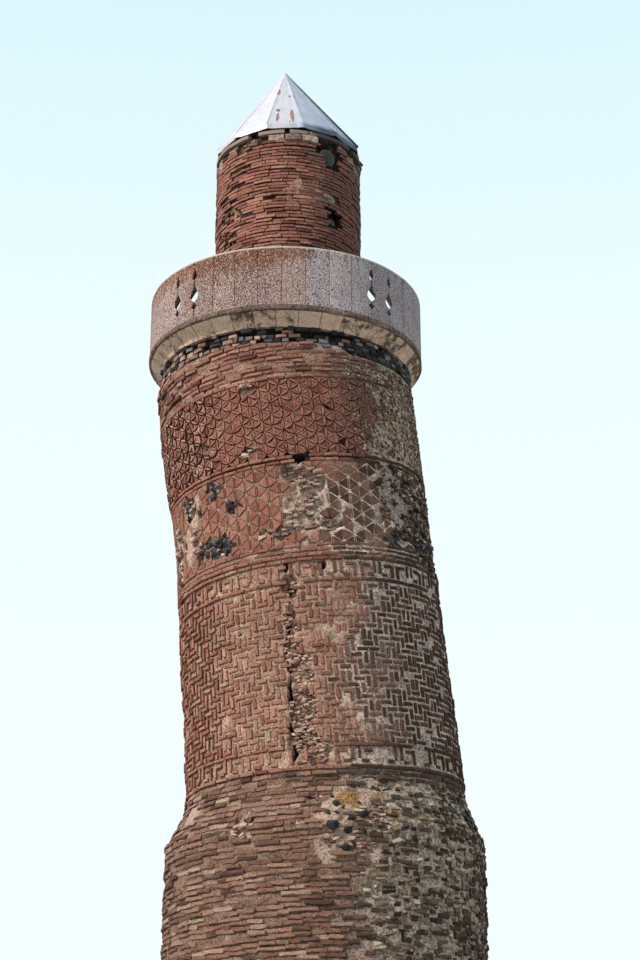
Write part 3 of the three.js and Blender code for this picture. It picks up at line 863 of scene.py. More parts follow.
# %% Rosette band
ROSE_COLUMNS, ROSE_ROW = 82, 0.19
ROSE_LOW, ROSE_HIGH = 12.18, 13.455
rose_width = 2 * math.pi * AROUND / ROSE_COLUMNS


def petal_outline(length, width, steps=4):
    along = [t / steps for t in range(steps + 1)]
    upper = [(length * (t - 0.5), width / 2 * math.sin(math.pi * (0.09 + 0.82 * t))) for t in along]
    return [(x, -y) for x, y in upper] + upper[::-1]


def hollow_triangle(side, hollow, tip):
    """Three corners with their sides drawn in, centred on the middle, with one corner towards +X."""
    corners = [side / math.sqrt(3) * np.array((math.cos(a), math.sin(a))) for a in np.radians([0, 120, 240])]
    sides = product(zip(corners, corners[1:] + corners[:1]), (tip, 0.36, 0.64, 1 - tip))
    return [tuple((a + (b - a) * t) * (1 - hollow * math.sin(math.pi * t))) for (a, b), t in sides]


petals, cells = [], []
slant = math.degrees(math.atan2(ROSE_ROW / 2, rose_width))
for azimuth, height in lattice(ROSE_COLUMNS, ROSE_ROW, ROSE_LOW, ROSE_HIGH, 0.01):
    below, third = height - ROSE_ROW / 2, rose_width / 3 / AROUND
    if ROSE_LOW - 0.05 < below < ROSE_HIGH + 0.05:
        petals.append(any_brick(azimuth, below, turn=90, tone=0.42))
        cells.append(any_brick(azimuth + third, below, tone=0.36))
        cells.append(any_brick(azimuth - third, below, turn=180, tone=0.36))
    for way in (-1, 1):
        middle = height + way * ROSE_ROW / 4
        if ROSE_LOW - 0.03 < middle < ROSE_HIGH + 0.03:
            petals.append(any_brick(azimuth + rose_width / 2 / AROUND, middle, turn=way * slant, tone=0.42))
petals, cells = standing(petals), standing(cells)
petals, cells = worn_off(petals), worn_off(cells)
petals[:, 1] += 0.0025  # each petal shades the joint below it
for tiles, proud in ((petals, 0.010), (cells, 0.0)):
    weathered = ramp(-np.sin(tiles[:, 0]), 0.46, 0.72)  # the far left has weathered into deep relief
    tiles[:, 2:4] *= 1 - weathered[:, None] * rng.uniform(0.06, 0.24, (len(tiles), 2))
    tiles[:, 5] += proud + weathered * rng.normal(0.35 * proud, 0.006, len(tiles))
    tiles[:, 4] += weathered * rng.normal(0, 5, len(tiles))
    tiles[:, 6] = 0.39 + 0.16 * weathered + (0.5 + weathered) * (tiles[:, 6] - 0.42)
petal = tile_shape(petal_outline(0.170, 0.048))
cell = tile_shape(hollow_triangle(0.148, 0.49, 0.06), edge=0.003)
for name, shape, tiles in (("petals", petal, petals), ("cells", cell, cells)):
    lay(
        f"rosette_{name}", shape, tiles, RED_BRICK,
        crooked=0.002, rim_shade=0.85, dents=0.0, within=(12.168, 13.463),
    )
CHIP_SPANS = ((0.46, 12.20, 0.25, 0.3), (1.55, 13.90, 0.9, 1.1))  # azimuth, height, stretch along and up
chips = [  # what is left of the worn tiles, and small stones pressed into their mortar
    (*rng.uniform(*CHIP_SPANS), rng.normal(0, 40), rng.uniform(-0.018, 0.008), rng.normal(0.68, 0.40))
    for _ in range(2300)
]
chip = brick_shape(0.07, 0.032)
lay("rosette_chips", chip, chips[:1750], FOOT_STONE, crooked=0.006, rim_shade=0.6)
lay("rosette_shards", chip, chips[1750:], RED_BRICK, crooked=0.006, rim_shade=0.6)

# %% [markdown]
# ## Plain courses
# The foot of the shaft and the top below the balcony are plain brickwork. At the top the courses still lie
# on the tilted ring below, and the level balcony cuts them off, so the left side has more of them than the
# right.


# %% Foot and top courses
def tilted(height):
    """The foot's courses climb to the right, less and less towards the patterned bands."""
    return lambda azimuth: 0.19 * ramp(7.12 - height, 0.0, 1.5) * np.sin(azimuth)


def battered(places):
    """The foot's right side has lost many bricks, and the rest are broken short and dark."""
    azimuth, height = places[:, 0], places[:, 1]
    hurt = ramp(azimuth, 0.14, 0.28) * ramp(7.02 - height, 0.0, 0.1)
    hurt *= ramp(2.2 - azimuth - rough(azimuth, height, 0.4, 46), 0.0, 0.5)
    places = places.copy()
    places[:, 2] *= 1 - hurt * rng.uniform(0.15, 0.55, len(places))
    places[:, 4] += hurt * rng.normal(0, 4, len(places))
    places[:, 5] -= hurt * rng.uniform(-0.01, 0.015, len(places))
    places[:, 6] -= hurt * 0.3
    return places[rng.random(len(places)) > 0.04 + 0.74 * hurt]


foot = []
for index in range(38):
    height = 4.10 + index * 0.083
    around = float(level(height, 3))
    foot.append(
        course(height, 0.25, rng.uniform(0, 1), 0.020, around, (0.47, 0.28), 0.011, tilted(height), 0.5)
    )
foot = np.concatenate(foot)
foot = battered(foot[(foot[:, 1] > 4.24) & (foot[:, 1] < 7.11)])
foot_shape = brick_shape(0.25, 0.062, edge=0.012, cuts=(-0.045, 0.045))
lay("foot_bricks", foot_shape, standing(foot), FOOT_BRICK, crooked=0.007)

patching = []
for index in range(46):
    ring = course(
        4.26 + index * 0.060, 0.15, rng.uniform(0, 1), 0.018, AROUND, (0.38, 0.3), 0.014, spread=0.5
    )
    edge = 0.13 + 0.16 * rough(ring[:, 0], ring[:, 1], 0.35, 41) + 0.06 * rng.random(len(ring))
    hurt = (ring[:, 0] > edge) & (ring[:, 0] < 1.7) & (ring[:, 1] < 6.96)
    patching.append(ring[hurt & (rng.random(len(ring)) > 0.13)])
patching = np.concatenate(patching)
patching[:, 2] *= rng.uniform(0.45, 1.05, len(patching))
patching[:, 3] *= rng.uniform(0.6, 1.35, len(patching))
patching[:, 4] += rng.normal(0, 9, len(patching)) + 90 * (rng.random(len(patching)) < 0.12)
patching_shape = brick_shape(0.15, 0.048, edge=0.010)
lay("foot_patching", patching_shape, standing(patching), FOOT_STONE, crooked=0.008, rim_shade=0.6)

TOP_FOOT, TOP_HEAD, TOP_TILT = 13.53, 14.13, 5.7
top = []
for index in range(14):
    ring = course(
        TOP_FOOT + index * 0.078, 0.23, rng.uniform(0, 1), 0.024, tone=(0.42, 0.25), out=0.011, spread=0.4
    )
    wanted = ring[:, 1] + level(TOP_FOOT, 3) * np.sin(ring[:, 0]) * math.sin(math.radians(TOP_TILT))
    height = ring[:, 1].copy()
    for _ in range(8):  # finds the wall height whose place lies on the tilted course
        height += wanted - shaft(ring[:, 0], height)[:, 2]
    ring[:, 1] = height
    ring[:, 4] += np.degrees(np.radians(TOP_TILT - level(height, 2)) * np.cos(ring[:, 0]))
    ring[:, 5] += ramp(-np.sin(ring[:, 0]), 0.48, 0.89) * rng.normal(0.004, 0.014, len(ring))
    top.append(ring[(height > TOP_FOOT - 0.01) & (height < TOP_HEAD)])
top = standing(np.concatenate(top))
dropped = (rng.random(len(top)) < 0.07) | (top[:, 1] > 14.12 - 0.15 * ramp(top[:, 0], 0.25, 0.5))
top_shape = brick_shape(0.23, 0.057, edge=0.011, cuts=(-0.05, 0.05))
lay("top_bricks", top_shape, worn_off(top[~dropped]), RED_BRICK, crooked=0.006, rim_shade=0.7)

# %% [markdown]
# ## The dark collar
# Under the balcony the wall was made up with whatever stones were at hand, most of them basalt. Some have
# dropped out and left gaps, whose mortar is painted black as shade. One shape, laid with much chance in
# size and turn, is enough.

# %% Collar stones
COLLAR = [  # height of a course, how likely its stones are pale, and how likely they have dropped out
    (14.010, 0.20, 0.10), (14.082, 0.20, 0.10), (14.155, 0.36, 0.05),
    (14.228, 0.24, 0.15), (14.300, 0.12, 0.40), (14.365, 0.05, 0.65),
]
collar = {"basalt": [], "pale": []}
for index, (height, pale, dropped) in enumerate(COLLAR):
    azimuth = rng.uniform(0, 0.1)
    while azimuth < 2 * math.pi:
        length = rng.uniform(0.08, 0.24)
        angle = wrapped(azimuth + length / 2 / AROUND)
        likely = pale * (0.5 if 0.3 < angle < 1.6 else 2.2 if -1.6 < angle < -0.5 else 1.0)
        kind, lightest = ("pale", 0.55) if rng.random() < likely else ("basalt", 1.0)
        if rng.random() > dropped and (index > 1 or 0.5 - 0.2 * index < angle < 1.6):
            size = ((length - 0.02) / 0.1, rng.uniform(0.050, 0.078) / 0.1)
            out, turn = rng.uniform(-0.030, 0.006), rng.normal(0, 3)
            collar[kind].append((angle, height, *size, turn, out, rng.random() * lightest))
        azimuth += length / AROUND
collar_shape = brick_shape(0.1, 0.1, depth=0.09, edge=0.012, cuts=(-0.03, 0.03))
lay("collar_basalt", collar_shape, collar["basalt"], BASALT, crooked=0.005, rim_shade=0.8)
lay("collar_pale_stones", collar_shape, collar["pale"], RUBBLE, crooked=0.005, rim_shade=0.8)

# %% [markdown]
# ## Rubble
# Where the facing has fallen, the core shows: broken brick and stones in old mortar. Small stones are
# strewn over every loss, half sunk. In a few places the core is basalt, and some of those stones are set
# one by one.

# %% Rubble and basalt
BASALT_PATCHES = table_of(
    (-59.3, 11.75, 6, 15), (-41, 11.86, 20, 11), (-50, 11.62, 10, 7), (-30, 11.52, 12, 11),
    (-40, 10.91, 34, 16), (64, 10.8, 28, 10), (40, 10.8, 20, 7),
)
SET_BASALT = table_of(  # in the foot's plaster: azimuth, height, width
    (2.3, 6.71, 5), (3.7, 6.61, 10), (0.8, 6.46, 7), (3.7, 6.46, 6), (2.7, 6.27, 15), (9.2, 6.36, 8),
    (13.5, 6.43, 12), (7.1, 6.2, 9), (7.3, 5.95, 10), (12, 6.62, 4), (6.5, 6.55, 3),
)
CORE = {  # stones on a square metre, their smallest and largest size, and their stretch along
    "turret": (210, 0.05, 0.12, 1.2),
    "crack": (520, 0.03, 0.07, 1.15),
    "dark": (240, 0.04, 0.11, 1.0),
    "pale": (110, 0.05, 0.13, 1.1),
}


def strewn(patch, density, low, high, flat, dark=False):
    """Stones at chance places inside a patch."""
    for _ in range(round(math.pi * patch[2] * patch[3] * density)):
        far, angle = math.sqrt(rng.random()), rng.uniform(0, 2 * math.pi)
        height = patch[1] + patch[3] * far * math.sin(angle)
        azimuth = math.radians(patch[0]) + patch[2] * far * math.cos(angle) / float(reach(height))
        gone, size = float(loss(azimuth, height)), rng.uniform(low, high)
        limed = (0.95 if azimuth > 0.6 else 0.6) * float(plaster(azimuth, height))
        if dark:
            spread = rng.uniform(0.9, 1.5)
            yield azimuth, height, size * spread, size / spread**0.3, rng.normal(0, 25), -0.012, rng.random()
        elif gone > 0.018 and rng.random() > limed:
            out = rng.uniform(0.1, 0.7) * size - gone
            yield azimuth, height, size * flat / 0.1, size / 0.1, rng.normal(2, 9), out, rng.random()


def kind_of_core(patch):
    """What lies in a loss: broken bricks in the turret and by the crack, dark stones on the right."""
    if patch[1] > BALCONY_FLOOR:
        return "turret"
    if patch[1] < 10.4 and abs(patch[0]) < 20:
        return "crack"
    return "dark" if 45 < patch[0] < 180 or (patch[1] < 7 and patch[0] > 0) else "pale"


cores, basalt = {kind: [] for kind in CORE}, []
for patch in LOSSES:
    kind = kind_of_core(patch)
    cores[kind] += strewn(patch, *CORE[kind])
for patch in BASALT_PATCHES:
    basalt += strewn(patch, 230, 0.05, 0.11, 1.0, dark=True)
for azimuth, height, width in SET_BASALT:
    turn, tone = rng.normal(0, 20), rng.random() * 0.4
    basalt.append((math.radians(azimuth), height, width * 1.3, width * 1.2, turn, -0.012, tone))
cores["dark"] = np.array(cores["dark"]) - (0, 0, 0, 0, 0, 0, 0.2)
broken = brick_shape(0.10, 0.046, depth=0.08, edge=0.012)
lay("shaft_rubble", broken, cores["pale"], RUBBLE, crooked=0.009, rim_shade=0.25)
lay("crack_rubble", broken, cores["crack"], BROKEN_BRICK, crooked=0.009, rim_shade=0.3)
lay("dark_rubble", broken, cores["dark"], FOOT_STONE, crooked=0.009, rim_shade=0.5)
lay("turret_rubble", broken, cores["turret"], RED_BRICK, on=TURRET, crooked=0.007, rim_shade=0.7)
bm = bmesh.new()
bmesh.ops.create_icosphere(bm, subdivisions=1, radius=0.5)
lay("basalt_stones", finished(bm), basalt, BASALT, crooked=0.013, rim_shade=0.3)


# %% Beds of the shaft
def by_side(value, left=0.0, far_left=(0.46, 0.72), right=0.0, far_right=(0.39, 0.63)):
    """A value that changes by so much on the left and on the right, between those sines of the azimuth."""
    return lambda azimuth, height: (
        value + left * ramp(-np.sin(azimuth), *far_left) + right * ramp(np.sin(azimuth), *far_right)
    )


def collar_gap(azimuth, height):
    """Grows in the collar, which begins lower on the right."""
    return height + 0.14 * ramp(wrapped(azimuth), 0.42, 0.55)


# Painted shade: each band's mortar is darkened in its joints, by the value given as the fifth argument of its
# bed.
def foot_joint_shade(azimuth, height):
    turn = wrapped(azimuth)
    return 0.46 - 0.24 * ramp(turn, 0.1, 0.3) * ramp(2.0 - turn, 0.0, 0.5) * ramp(7.0 - height, 0.0, 0.1)


field_joint = by_side(0.018, 0.019, (0.48, 0.91))
star_joint = by_side(0.012, right=-0.008, far_right=(0.05, 0.2))
star_joint_shade = by_side(0.25, right=-0.25, far_right=(0.0, 0.25))
rosette_joint = by_side(0.026, 0.010, right=-0.012)
rosette_joint_shade = by_side(0.92, -0.30, right=-0.82, far_right=(0.435, 0.63))
bed("foot_bed", (4.20, 7.15), (344, 78), even(0.021), foot_joint_shade, quarters("drum"))
bed("field_bed", (7.15, 10.46), (380, 104), field_joint, even(0.04), quarters("meander"))
bed("star_bed", (10.46, 12.04), (380, 48), star_joint, star_joint_shade, quarters("star_band"))
bed("rosette_bed", (12.04, 13.47), (380, 44), rosette_joint, rosette_joint_shade, quarters("rosette_band"))
bed(
    "top_bed", (13.47, 14.40), (380, 29),
    lambda azimuth, height: 0.020 + 0.09 * ramp(collar_gap(azimuth, height), 14.10, 14.20),
    # Painted shade: in the collar's gaps the mortar is darkened nearly to black.
    lambda azimuth, height: 0.28 + 0.70 * ramp(collar_gap(azimuth, height), 14.08, 14.16),
    quarters("top_courses"),
)

# %% [markdown]
# ## The balcony
# Thirty-eight moulded blocks carry a thin, weathered ledge. A block is its section, drawn once as a face
# and extruded along the wall. The ledge's slabs are made the same way, of a rougher stone.


# %% Cornice and ledge
def section_shape(section, width, pieces, edge, base=BALCONY_RADIUS):
    """A length of moulding: its section in height and radius, extruded in pieces along a round wall."""
    bm = bmesh.new()
    end = bm.faces.new([bm.verts.new((-width / 2, height, radius - base)) for height, radius in section])
    for _ in range(pieces):
        end = only(FACE, extrude(bm, [end], (width / pieces, 0, 0)))[0]
    for x in (-width / 2, width / 2):
        rim = [e for e in bm.edges if all(abs(v.co.x - x) < 1e-6 and v.co.z > -0.3 for v in e.verts)]
        soften(bm, rim, edge, clamp=True)
    return finished(bm)


def ring_of(count, first, tone, out, uneven=0.0):
    """Places for blocks side by side round the balcony."""
    turn = 2 * math.pi / count
    return [
        (azimuth, rng.normal(0, uneven), 1, 1, 0, rng.normal(0, out) - out, rng.normal(*tone))
        for azimuth in wrapped(first + turn * np.arange(count))
    ]


CORNICE = [  # height and radius
    (14.402, 2.150), (14.45, 2.172), (14.51, 2.225), (14.56, 2.290), (14.595, 2.322), (14.606, 2.330),
    (14.606, 1.002), (14.402, 1.002),
]
LEDGE = [
    (14.609, 2.330), (14.612, 2.362), (14.63, 2.372), (14.68, 2.372), (14.70, 2.364), (14.70, 1.002),
    (14.609, 1.002)
]
BLOCKS, LEDGE_SLABS = 38, 34
girth = 2 * math.pi * BALCONY_RADIUS
block = section_shape(CORNICE, girth / BLOCKS - 0.008, 4, 0.008)
ring = ring_of(BLOCKS, 0.03, (0.53, 0.05), 0.003)
corbels = quarters("balcony")
lay("cornice_blocks", block, ring, CORNICE_STONE, BALCONY, 0.002, 0.0, solids=corbels)
slab = section_shape(LEDGE, girth / LEDGE_SLABS - 0.006, 5, 0.006)
ring = ring_of(LEDGE_SLABS, 0.0, (0.45, 0.06), 0.002)
lay("ledge_slabs", slab, ring, LEDGE_STONE, BALCONY, 0.003, 0.0)

# %% [markdown]
# ## The parapet
# Upright slabs stand on the ledge. Wherever a single slab meets a row, the joint is pierced: each of the
# two slabs has half of the opening cut out of its side. A slab is one outline, with or without notches.

# %% Parapet
PIERS = (-44, 43, 134, 224)  # azimuth of the single slabs
PIERCING = [  # height above the ledge and half width of the opening
    (0.160, 0.004), (0.225, 0.060), (0.280, 0.010), (0.310, 0.010), (0.345, 0.058), (0.395, 0.086),
    (0.455, 0.078), (0.520, 0.046), (0.590, 0.010), (0.690, 0.008), (0.750, 0.038), (0.800, 0.047),
    (0.905, 0.004),
]
PIER_WIDTH, ROW_SLABS, SLAB_HEIGHT = 10, 8, PARAPET_TOP - BALCONY_FLOOR


def slab_shape(degrees, left, right):
    """A parapet slab, pierced on its left or right side or on both. The openings are wider at the back."""
    half = math.radians(degrees) * BALCONY_RADIUS / 2 - 0.003
    outlines = []
    for splay in (1.0, 2.7):
        notch = [(half - max(width - 0.004, 0.0) * splay, height) for height, width in PIERCING]
        plain = [(half, height) for height, _ in PIERCING]
        outline = [
            (-half, 0.0), (half, 0.0), *(notch if right else plain), (half, SLAB_HEIGHT), (-half, SLAB_HEIGHT)
        ]
        outlines.append(outline + [(-x, y) for x, y in reversed(notch if left else plain)])
    return tile_shape(outlines[0], depth=0.128, cuts=(-0.12, -0.04, 0.04, 0.12), behind=outlines[1])


for index, (pier, side) in enumerate(zip(PIERS, ("front", "right", "back", "left"))):
    corner = ("front_left", "front_right", "back_right", "back_left")[index]
    width = ((*PIERS, PIERS[0] + 360)[index + 1] - pier - PIER_WIDTH) / ROW_SLABS
    middles = [pier + PIER_WIDTH / 2 + (i + 0.5) * width for i in range(ROW_SLABS)]
    for kind, places, solids in (
        ("first", middles[:1], ()),
        ("middle", middles[1:-1], [f"parapet_{side}"]),
        ("last", middles[-1:], ()),
        ("pier", [pier], [f"parapet_slab_{corner}"]),
    ):
        degrees = PIER_WIDTH if kind == "pier" else width
        shape = slab_shape(degrees, kind in ("first", "pier"), kind in ("last", "pier"))
        rows = [
            (azimuth, BALCONY_FLOOR, 1, 1, 0, rng.uniform(-0.006, 0.0), rng.normal(0.5, 0.09))
            for azimuth in wrapped(np.radians(places))
        ]
        name = f"parapet_{kind}_{index}"
        lay(name, shape, rows, PARAPET_STONE, BALCONY, 0.0015, 0.0, solids=solids)

# %% [markdown]
# ## The turret
# The turret is built of thin bricks in close courses, with the mortar washed out of its joints, so every
# course casts a line of shadow, and the mortar in the joints is painted dark as shade too. Under the eave
# runs a course of pale blocks, which has partly dropped out.

# %% Turret brickwork
UPPER_BREAK, LOWER_BREAK = (34.0, 18.34, 0.205, 0.28), (39.0, 17.05, 0.14, 0.16)
DOOR_SIDE = 0.32  # half the doorway's width
DOOR = (math.pi, math.asin(DOOR_SIDE / TURRET_RADIUS), BALCONY_FLOOR, 16.45)
thin = []
for index in range(58):
    height = BALCONY_FLOOR + 0.035 + index * 0.0648
    sway = 0.012 * (rough(index * 0.7, height, 0.5, 12) - 0.5)
    thin.append(
        course(height + sway, 0.27, rng.uniform(0, 1), 0.008, TURRET_RADIUS, (0.38, 0.2), 0.006, spread=0.3)
    )
thin = standing(np.concatenate(thin))
azimuth, height = thin[:, 0], thin[:, 1]
ragged = 1.0 + 0.5 * (rough(azimuth, height, 0.07, 15) - 0.5)
kept = height < 18.44
for patch in (UPPER_BREAK, LOWER_BREAK):  # nothing hangs in the broken holes or the doorway
    kept &= from_patch(azimuth, height, (*patch[:2], patch[2] + 0.03, patch[3] + 0.01)) > ragged
kept &= (np.abs(wrapped(azimuth - math.pi)) * TURRET_RADIUS >= DOOR_SIDE + 0.1) | (height >= DOOR[3] + 0.12)
thin = thin[kept]
thin[:, 4] *= 0.4
thin[:, 5] += 0.022 * (rough(thin[:, 0], thin[:, 1], 0.24, 17) - 0.6)
thin_brick = brick_shape(0.27, 0.052, depth=0.06, edge=0.006, cuts=(-0.07, 0.0, 0.07))
lay("turret_bricks", thin_brick, thin, RED_BRICK, on=TURRET, crooked=0.0035, rim_shade=0.75)
eave_blocks = []
for index in range(27):
    azimuth = wrapped(2 * math.pi * index / 27 - 0.150)
    if not (-80 < math.degrees(azimuth) < -18 or 27 < math.degrees(azimuth) < 80):
        up, turn = rng.uniform(0.85, 1.0), rng.normal(0, 1.2)
        eave_blocks.append(
            (azimuth, 18.505, 1.86, up, turn, rng.normal(0.008, 0.006), rng.normal(0.85, 0.12))
        )
eave_blocks += [
    (-1.16, 18.36, 0.9, 2.0, 8, 0.012, 0.85), (0.86, 18.50, 1.5, 0.8, -16, 0.0, 0.6),
    (1.02, 18.40, 1.3, 0.9, 12, 0.012, 0.75), (1.20, 18.30, 1.2, 0.9, -8, 0.010, 0.7),
    (-0.85, 18.50, 1.6, 0.45, 5, -0.01, 0.6), (-0.50, 18.46, 1.4, 0.4, -4, -0.015, 0.3),
]
eave_block = brick_shape(0.160, 0.13, depth=0.10, edge=0.010, cuts=(-0.03, 0.03))
lay("eave_blocks", eave_block, eave_blocks, LEDGE_STONE, on=TURRET, crooked=0.007)


# %% Turret bed
def inside_turret(azimuth, height):
    """The room's wall. Near the doorway the angle is widened, so that the jambs run straight through."""
    off = wrapped(azimuth - math.pi)
    wide = math.asin(DOOR_SIDE / TURRET_INNER)
    off = np.sign(off) * np.interp(np.abs(off), [0, DOOR[1], 0.8, math.pi], [0, wide, 0.8, math.pi])
    return turret(math.pi + off, height, TURRET_INNER - TURRET_RADIUS)


def smeared(azimuth, height):
    """1 where old mortar still fills the joints right of the middle."""
    return 1 - ramp(
        from_patch(azimuth, height, (14.0, 17.45, 0.38, 0.26)) + wandering(azimuth, height), 0.6, 1.0
    )


def turret_joint(azimuth, height):
    return 0.030 - 0.020 * smeared(azimuth, height) + 0.03 * ramp(height, 18.40, 18.46)


# Painted shade: the joints are darkened except where old mortar fills them, and the mortar round the broken
# holes is painted near black.
def turret_joint_shade(azimuth, height):
    near = np.minimum(from_patch(azimuth, height, UPPER_BREAK), from_patch(azimuth, height, LOWER_BREAK))
    return np.maximum(0.92 - 0.8 * smeared(azimuth, height), ramp(near, 1.9, 1.5))


walls = [f"turret_{part}" for part in ("front", "right", "left", "back_right", "back_left", "over_door")]
openings = {"doors": [DOOR], "breaks": [UPPER_BREAK, LOWER_BREAK]}
span = (BALCONY_FLOOR, TURRET_TOP)
bed("turret_bed", span, (214, 86), turret_joint, turret_joint_shade, walls, turret, inside_turret, 0.0, **openings)


# %% Doorway stones
def back_plane(across, height, out=0.0):
    """A flat wall behind the turret, measured in metres, for the doorway's plain jambs and lintel."""
    return np.stack([TURRET_X - across, 1.26 + out + 0.0 * across, height + 0.0 * across], axis=-1)


jambs = [
    (side * 0.385, BALCONY_FLOOR + 0.15 + i * 0.29, 1, 1, 0, 0, rng.normal(0.5, 0.1))
    for side, i in product((-1, 1), range(6))
]
jamb = brick_shape(0.125, 0.28, depth=0.30, edge=0.012)
lintel = brick_shape(0.90, 0.15, depth=0.30, edge=0.014, cuts=(-0.2, 0.0, 0.2))
lay("doorway_jambs", jamb, jambs, CUT_STONE, on=(back_plane, 1.0), rim_shade=0.0)
lay("doorway_lintel", lintel, [(0.0, 16.53, 1, 1, 0, 0.004, 0.5)], CUT_STONE, on=(back_plane, 1.0), rim_shade=0.0)

# %% [markdown]
# ## The eave and the cone
# A ring of old boards closes the gap between the wall and the roof. On it sit thirteen flat sheets of
# bright metal, folded down at the eave. A ring is drawn, extruded up and merged into the tip, and every
# sheet is subdivided so that dents can be pressed into it. Rust runs down from old nail holes, and the mesh
# carries where.

# %% Eave boards
mix = finish("eave_timber", roughness=0.85)
grain = mix.noise(14, 6, 0.7, [1, 1, 9])
tone = mix.plus(mix.carried("tone"), mix.swing(grain, 0.8))
wood = mix.ramp(tone, (0, 20, 14, 10), (40, 140, 98, 76), (100, 300, 230, 185))
# Painted shade: the boards turned from the sunny left are darkened by their grime value.
TIMBER = mix.paint(mix.blend(mix.carried("grime_and_shade"), wood, (50, 40, 35)), grain, 0.004)
FOOT, HEAD, BOARDS = 18.584, 18.678, 17
EAVE = [(FOOT, 1.052), (FOOT, 1.322), (HEAD - 0.03, 1.322), (HEAD, 1.28), (HEAD, 1.052)]
boards = [
    (azimuth, 0, 1, 1, rng.normal(0, 0.3), rng.uniform(-0.012, 0), rng.normal(0.55, 0.15))
    for azimuth in wrapped(2 * math.pi * np.arange(BOARDS) / BOARDS + 0.1)
]
board = section_shape(EAVE, 2 * math.pi * TURRET_RADIUS / BOARDS - 0.010, 5, 0.005, TURRET_RADIUS)
lay("eave_boards", board, boards, TIMBER, TURRET, 0.0015, 0.0, solids=["eave_board"])

# %% Sheet metal
mix = finish("sheet_metal", roughness=0.45, specular=0.5, metallic=0.25)
cloud, streaks = mix.noise(2.6, 5), mix.noise(16, 5, 0.7, [1, 1, 0.22])
# Painted light and reflection: bright is the sunlit, glinting sheet and dull the shaded sheet with its blue
# sky reflection; the sheets' grime value, all painted here, mixes them.
bright = mix.ramp(cloud, (30, 370, 355, 410), (70, 440, 420, 455))
dull = mix.ramp(cloud, (30, 110, 145, 230), (70, 190, 235, 340))
rusted = mix.grey(mix.plus(mix.carried("rust"), mix.swing(streaks, 0.8)), 42, 62)
rust = mix.ramp(streaks, (30, 70, 26, 16), (70, 250, 125, 75))
coloured = mix.blend(rusted, mix.blend(mix.carried("grime_and_shade"), bright, dull), rust)
mix.feed(mix.shader, {
    "Metallic": mix.times(mix.maths("SUBTRACT", 1.0, rusted), 0.25),
    "Roughness": mix.ramp(mix.noise(9, 5), (30, 350, 350, 350), (70, 550, 550, 550)),
})
METAL = mix.paint(mix.blend(mix.carried("shade"), coloured, (10, 10, 12)), mix.noise(7, 3), 0.010, 0.5)

# %% Cone
FACETS, CONE_RADIUS, CONE_TIP, TIP_SHIFT = 13, 1.345, 20.708, -0.080
FASCIA_FOOT, FASCIA_HEAD = 18.681, 18.780  # the edge that is folded down
FIRST_FOLD = math.radians(-15.5)
SHEET_CELLS = 22
RUST = table_of(
    (-14, 19.95, 4, 12, 120), (-15, 20.24, 1.8, 5, 100), (6, 19.8, 2, 9, 110), (13, 19.79, 2.6, 11, 120),
    (-9, 19.28, 4.4, 6, 110), (-8.5, 19.04, 3.4, 20, 120), (5, 19.07, 3.8, 28, 130), (2, 18.86, 1.5, 6, 90),
    (140, 19.6, 3, 14, 100), (200, 19.1, 3, 16, 100), (236, 19.3, 2, 9, 90),
)
NAIL_HOLES = table_of((-8, 18.83, 1.8, 3.5, 100), (0, 18.83, 1.4, 4.5, 100), (4.5, 18.82, 1.2, 3, 100))


def on_cone(azimuth, height, table):
    """The strongest of some spots on the cone."""
    radius = CONE_RADIUS * np.clip((CONE_TIP - height) / (CONE_TIP - FASCIA_HEAD), 0.02, 1.0)
    found = np.zeros(len(azimuth))
    for middle, at, half_width, half_height, strength in table:
        across = wrapped(azimuth - math.radians(middle)) * radius / half_width
        found = np.maximum(
            found, strength * (1 - ramp(np.hypot(across, (height - at) / half_height), 0.5, 1.15))
        )
    return found


bm = bmesh.new()
ring = bmesh.ops.create_circle(bm, segments=FACETS, radius=CONE_RADIUS)["verts"]
start = math.atan2(ring[0].co.x, -ring[0].co.y)
bmesh.ops.rotate(bm, verts=ring, matrix=Matrix.Rotation(FIRST_FOLD - start, 3, "Z"))
bmesh.ops.translate(bm, verts=ring, vec=(0, 0, FASCIA_FOOT))
edges = bm.edges[:]
for rise in (FASCIA_HEAD - FASCIA_FOOT, CONE_TIP - FASCIA_HEAD):
    grown = bmesh.ops.extrude_edge_only(bm, edges=edges)["geom"]
    verts, edges = only(VERT, grown), only(EDGE, grown)
    bmesh.ops.translate(bm, verts=verts, vec=(0, 0, rise))
bmesh.ops.pointmerge(bm, verts=verts, merge_co=(0, 0, CONE_TIP))
bmesh.ops.subdivide_edges(bm, edges=bm.edges[:], cuts=SHEET_CELLS, use_grid_fill=True)
bmesh.ops.recalc_face_normals(bm, faces=bm.faces)
bmesh.ops.solidify(bm, geom=bm.faces[:], thickness=0.02)
points, faces = finished(bm)
x, y, z = points.T
azimuth = np.arctan2(x, -y)
fold = (azimuth - FIRST_FOLD) / (2 * math.pi / FACETS)
between = np.abs(fold - np.round(fold)) * 2  # 0 at a fold, 1 in the middle of a sheet
dents = 0.018 * rough(azimuth, z, 0.45, 31) + 0.010 * rough(azimuth, z, 0.16, 32)
push = dents * ramp(between, 0.0, 0.35) * ramp(np.hypot(x, y), 0.05, 0.4)
x, y = x - push * np.sin(azimuth), y + push * np.cos(azimuth)
lifted = z + 0.022 * ramp(z, FASCIA_HEAD, FASCIA_FOOT) * rough(azimuth, 0.0 * z, 0.30, 33)
shifted = x + TURRET_X + TIP_SHIFT * (z - FASCIA_FOOT) / (CONE_TIP - FASCIA_FOOT)
foot_band = 1 - ramp(z, FASCIA_HEAD + 0.02, FASCIA_HEAD + 0.14)
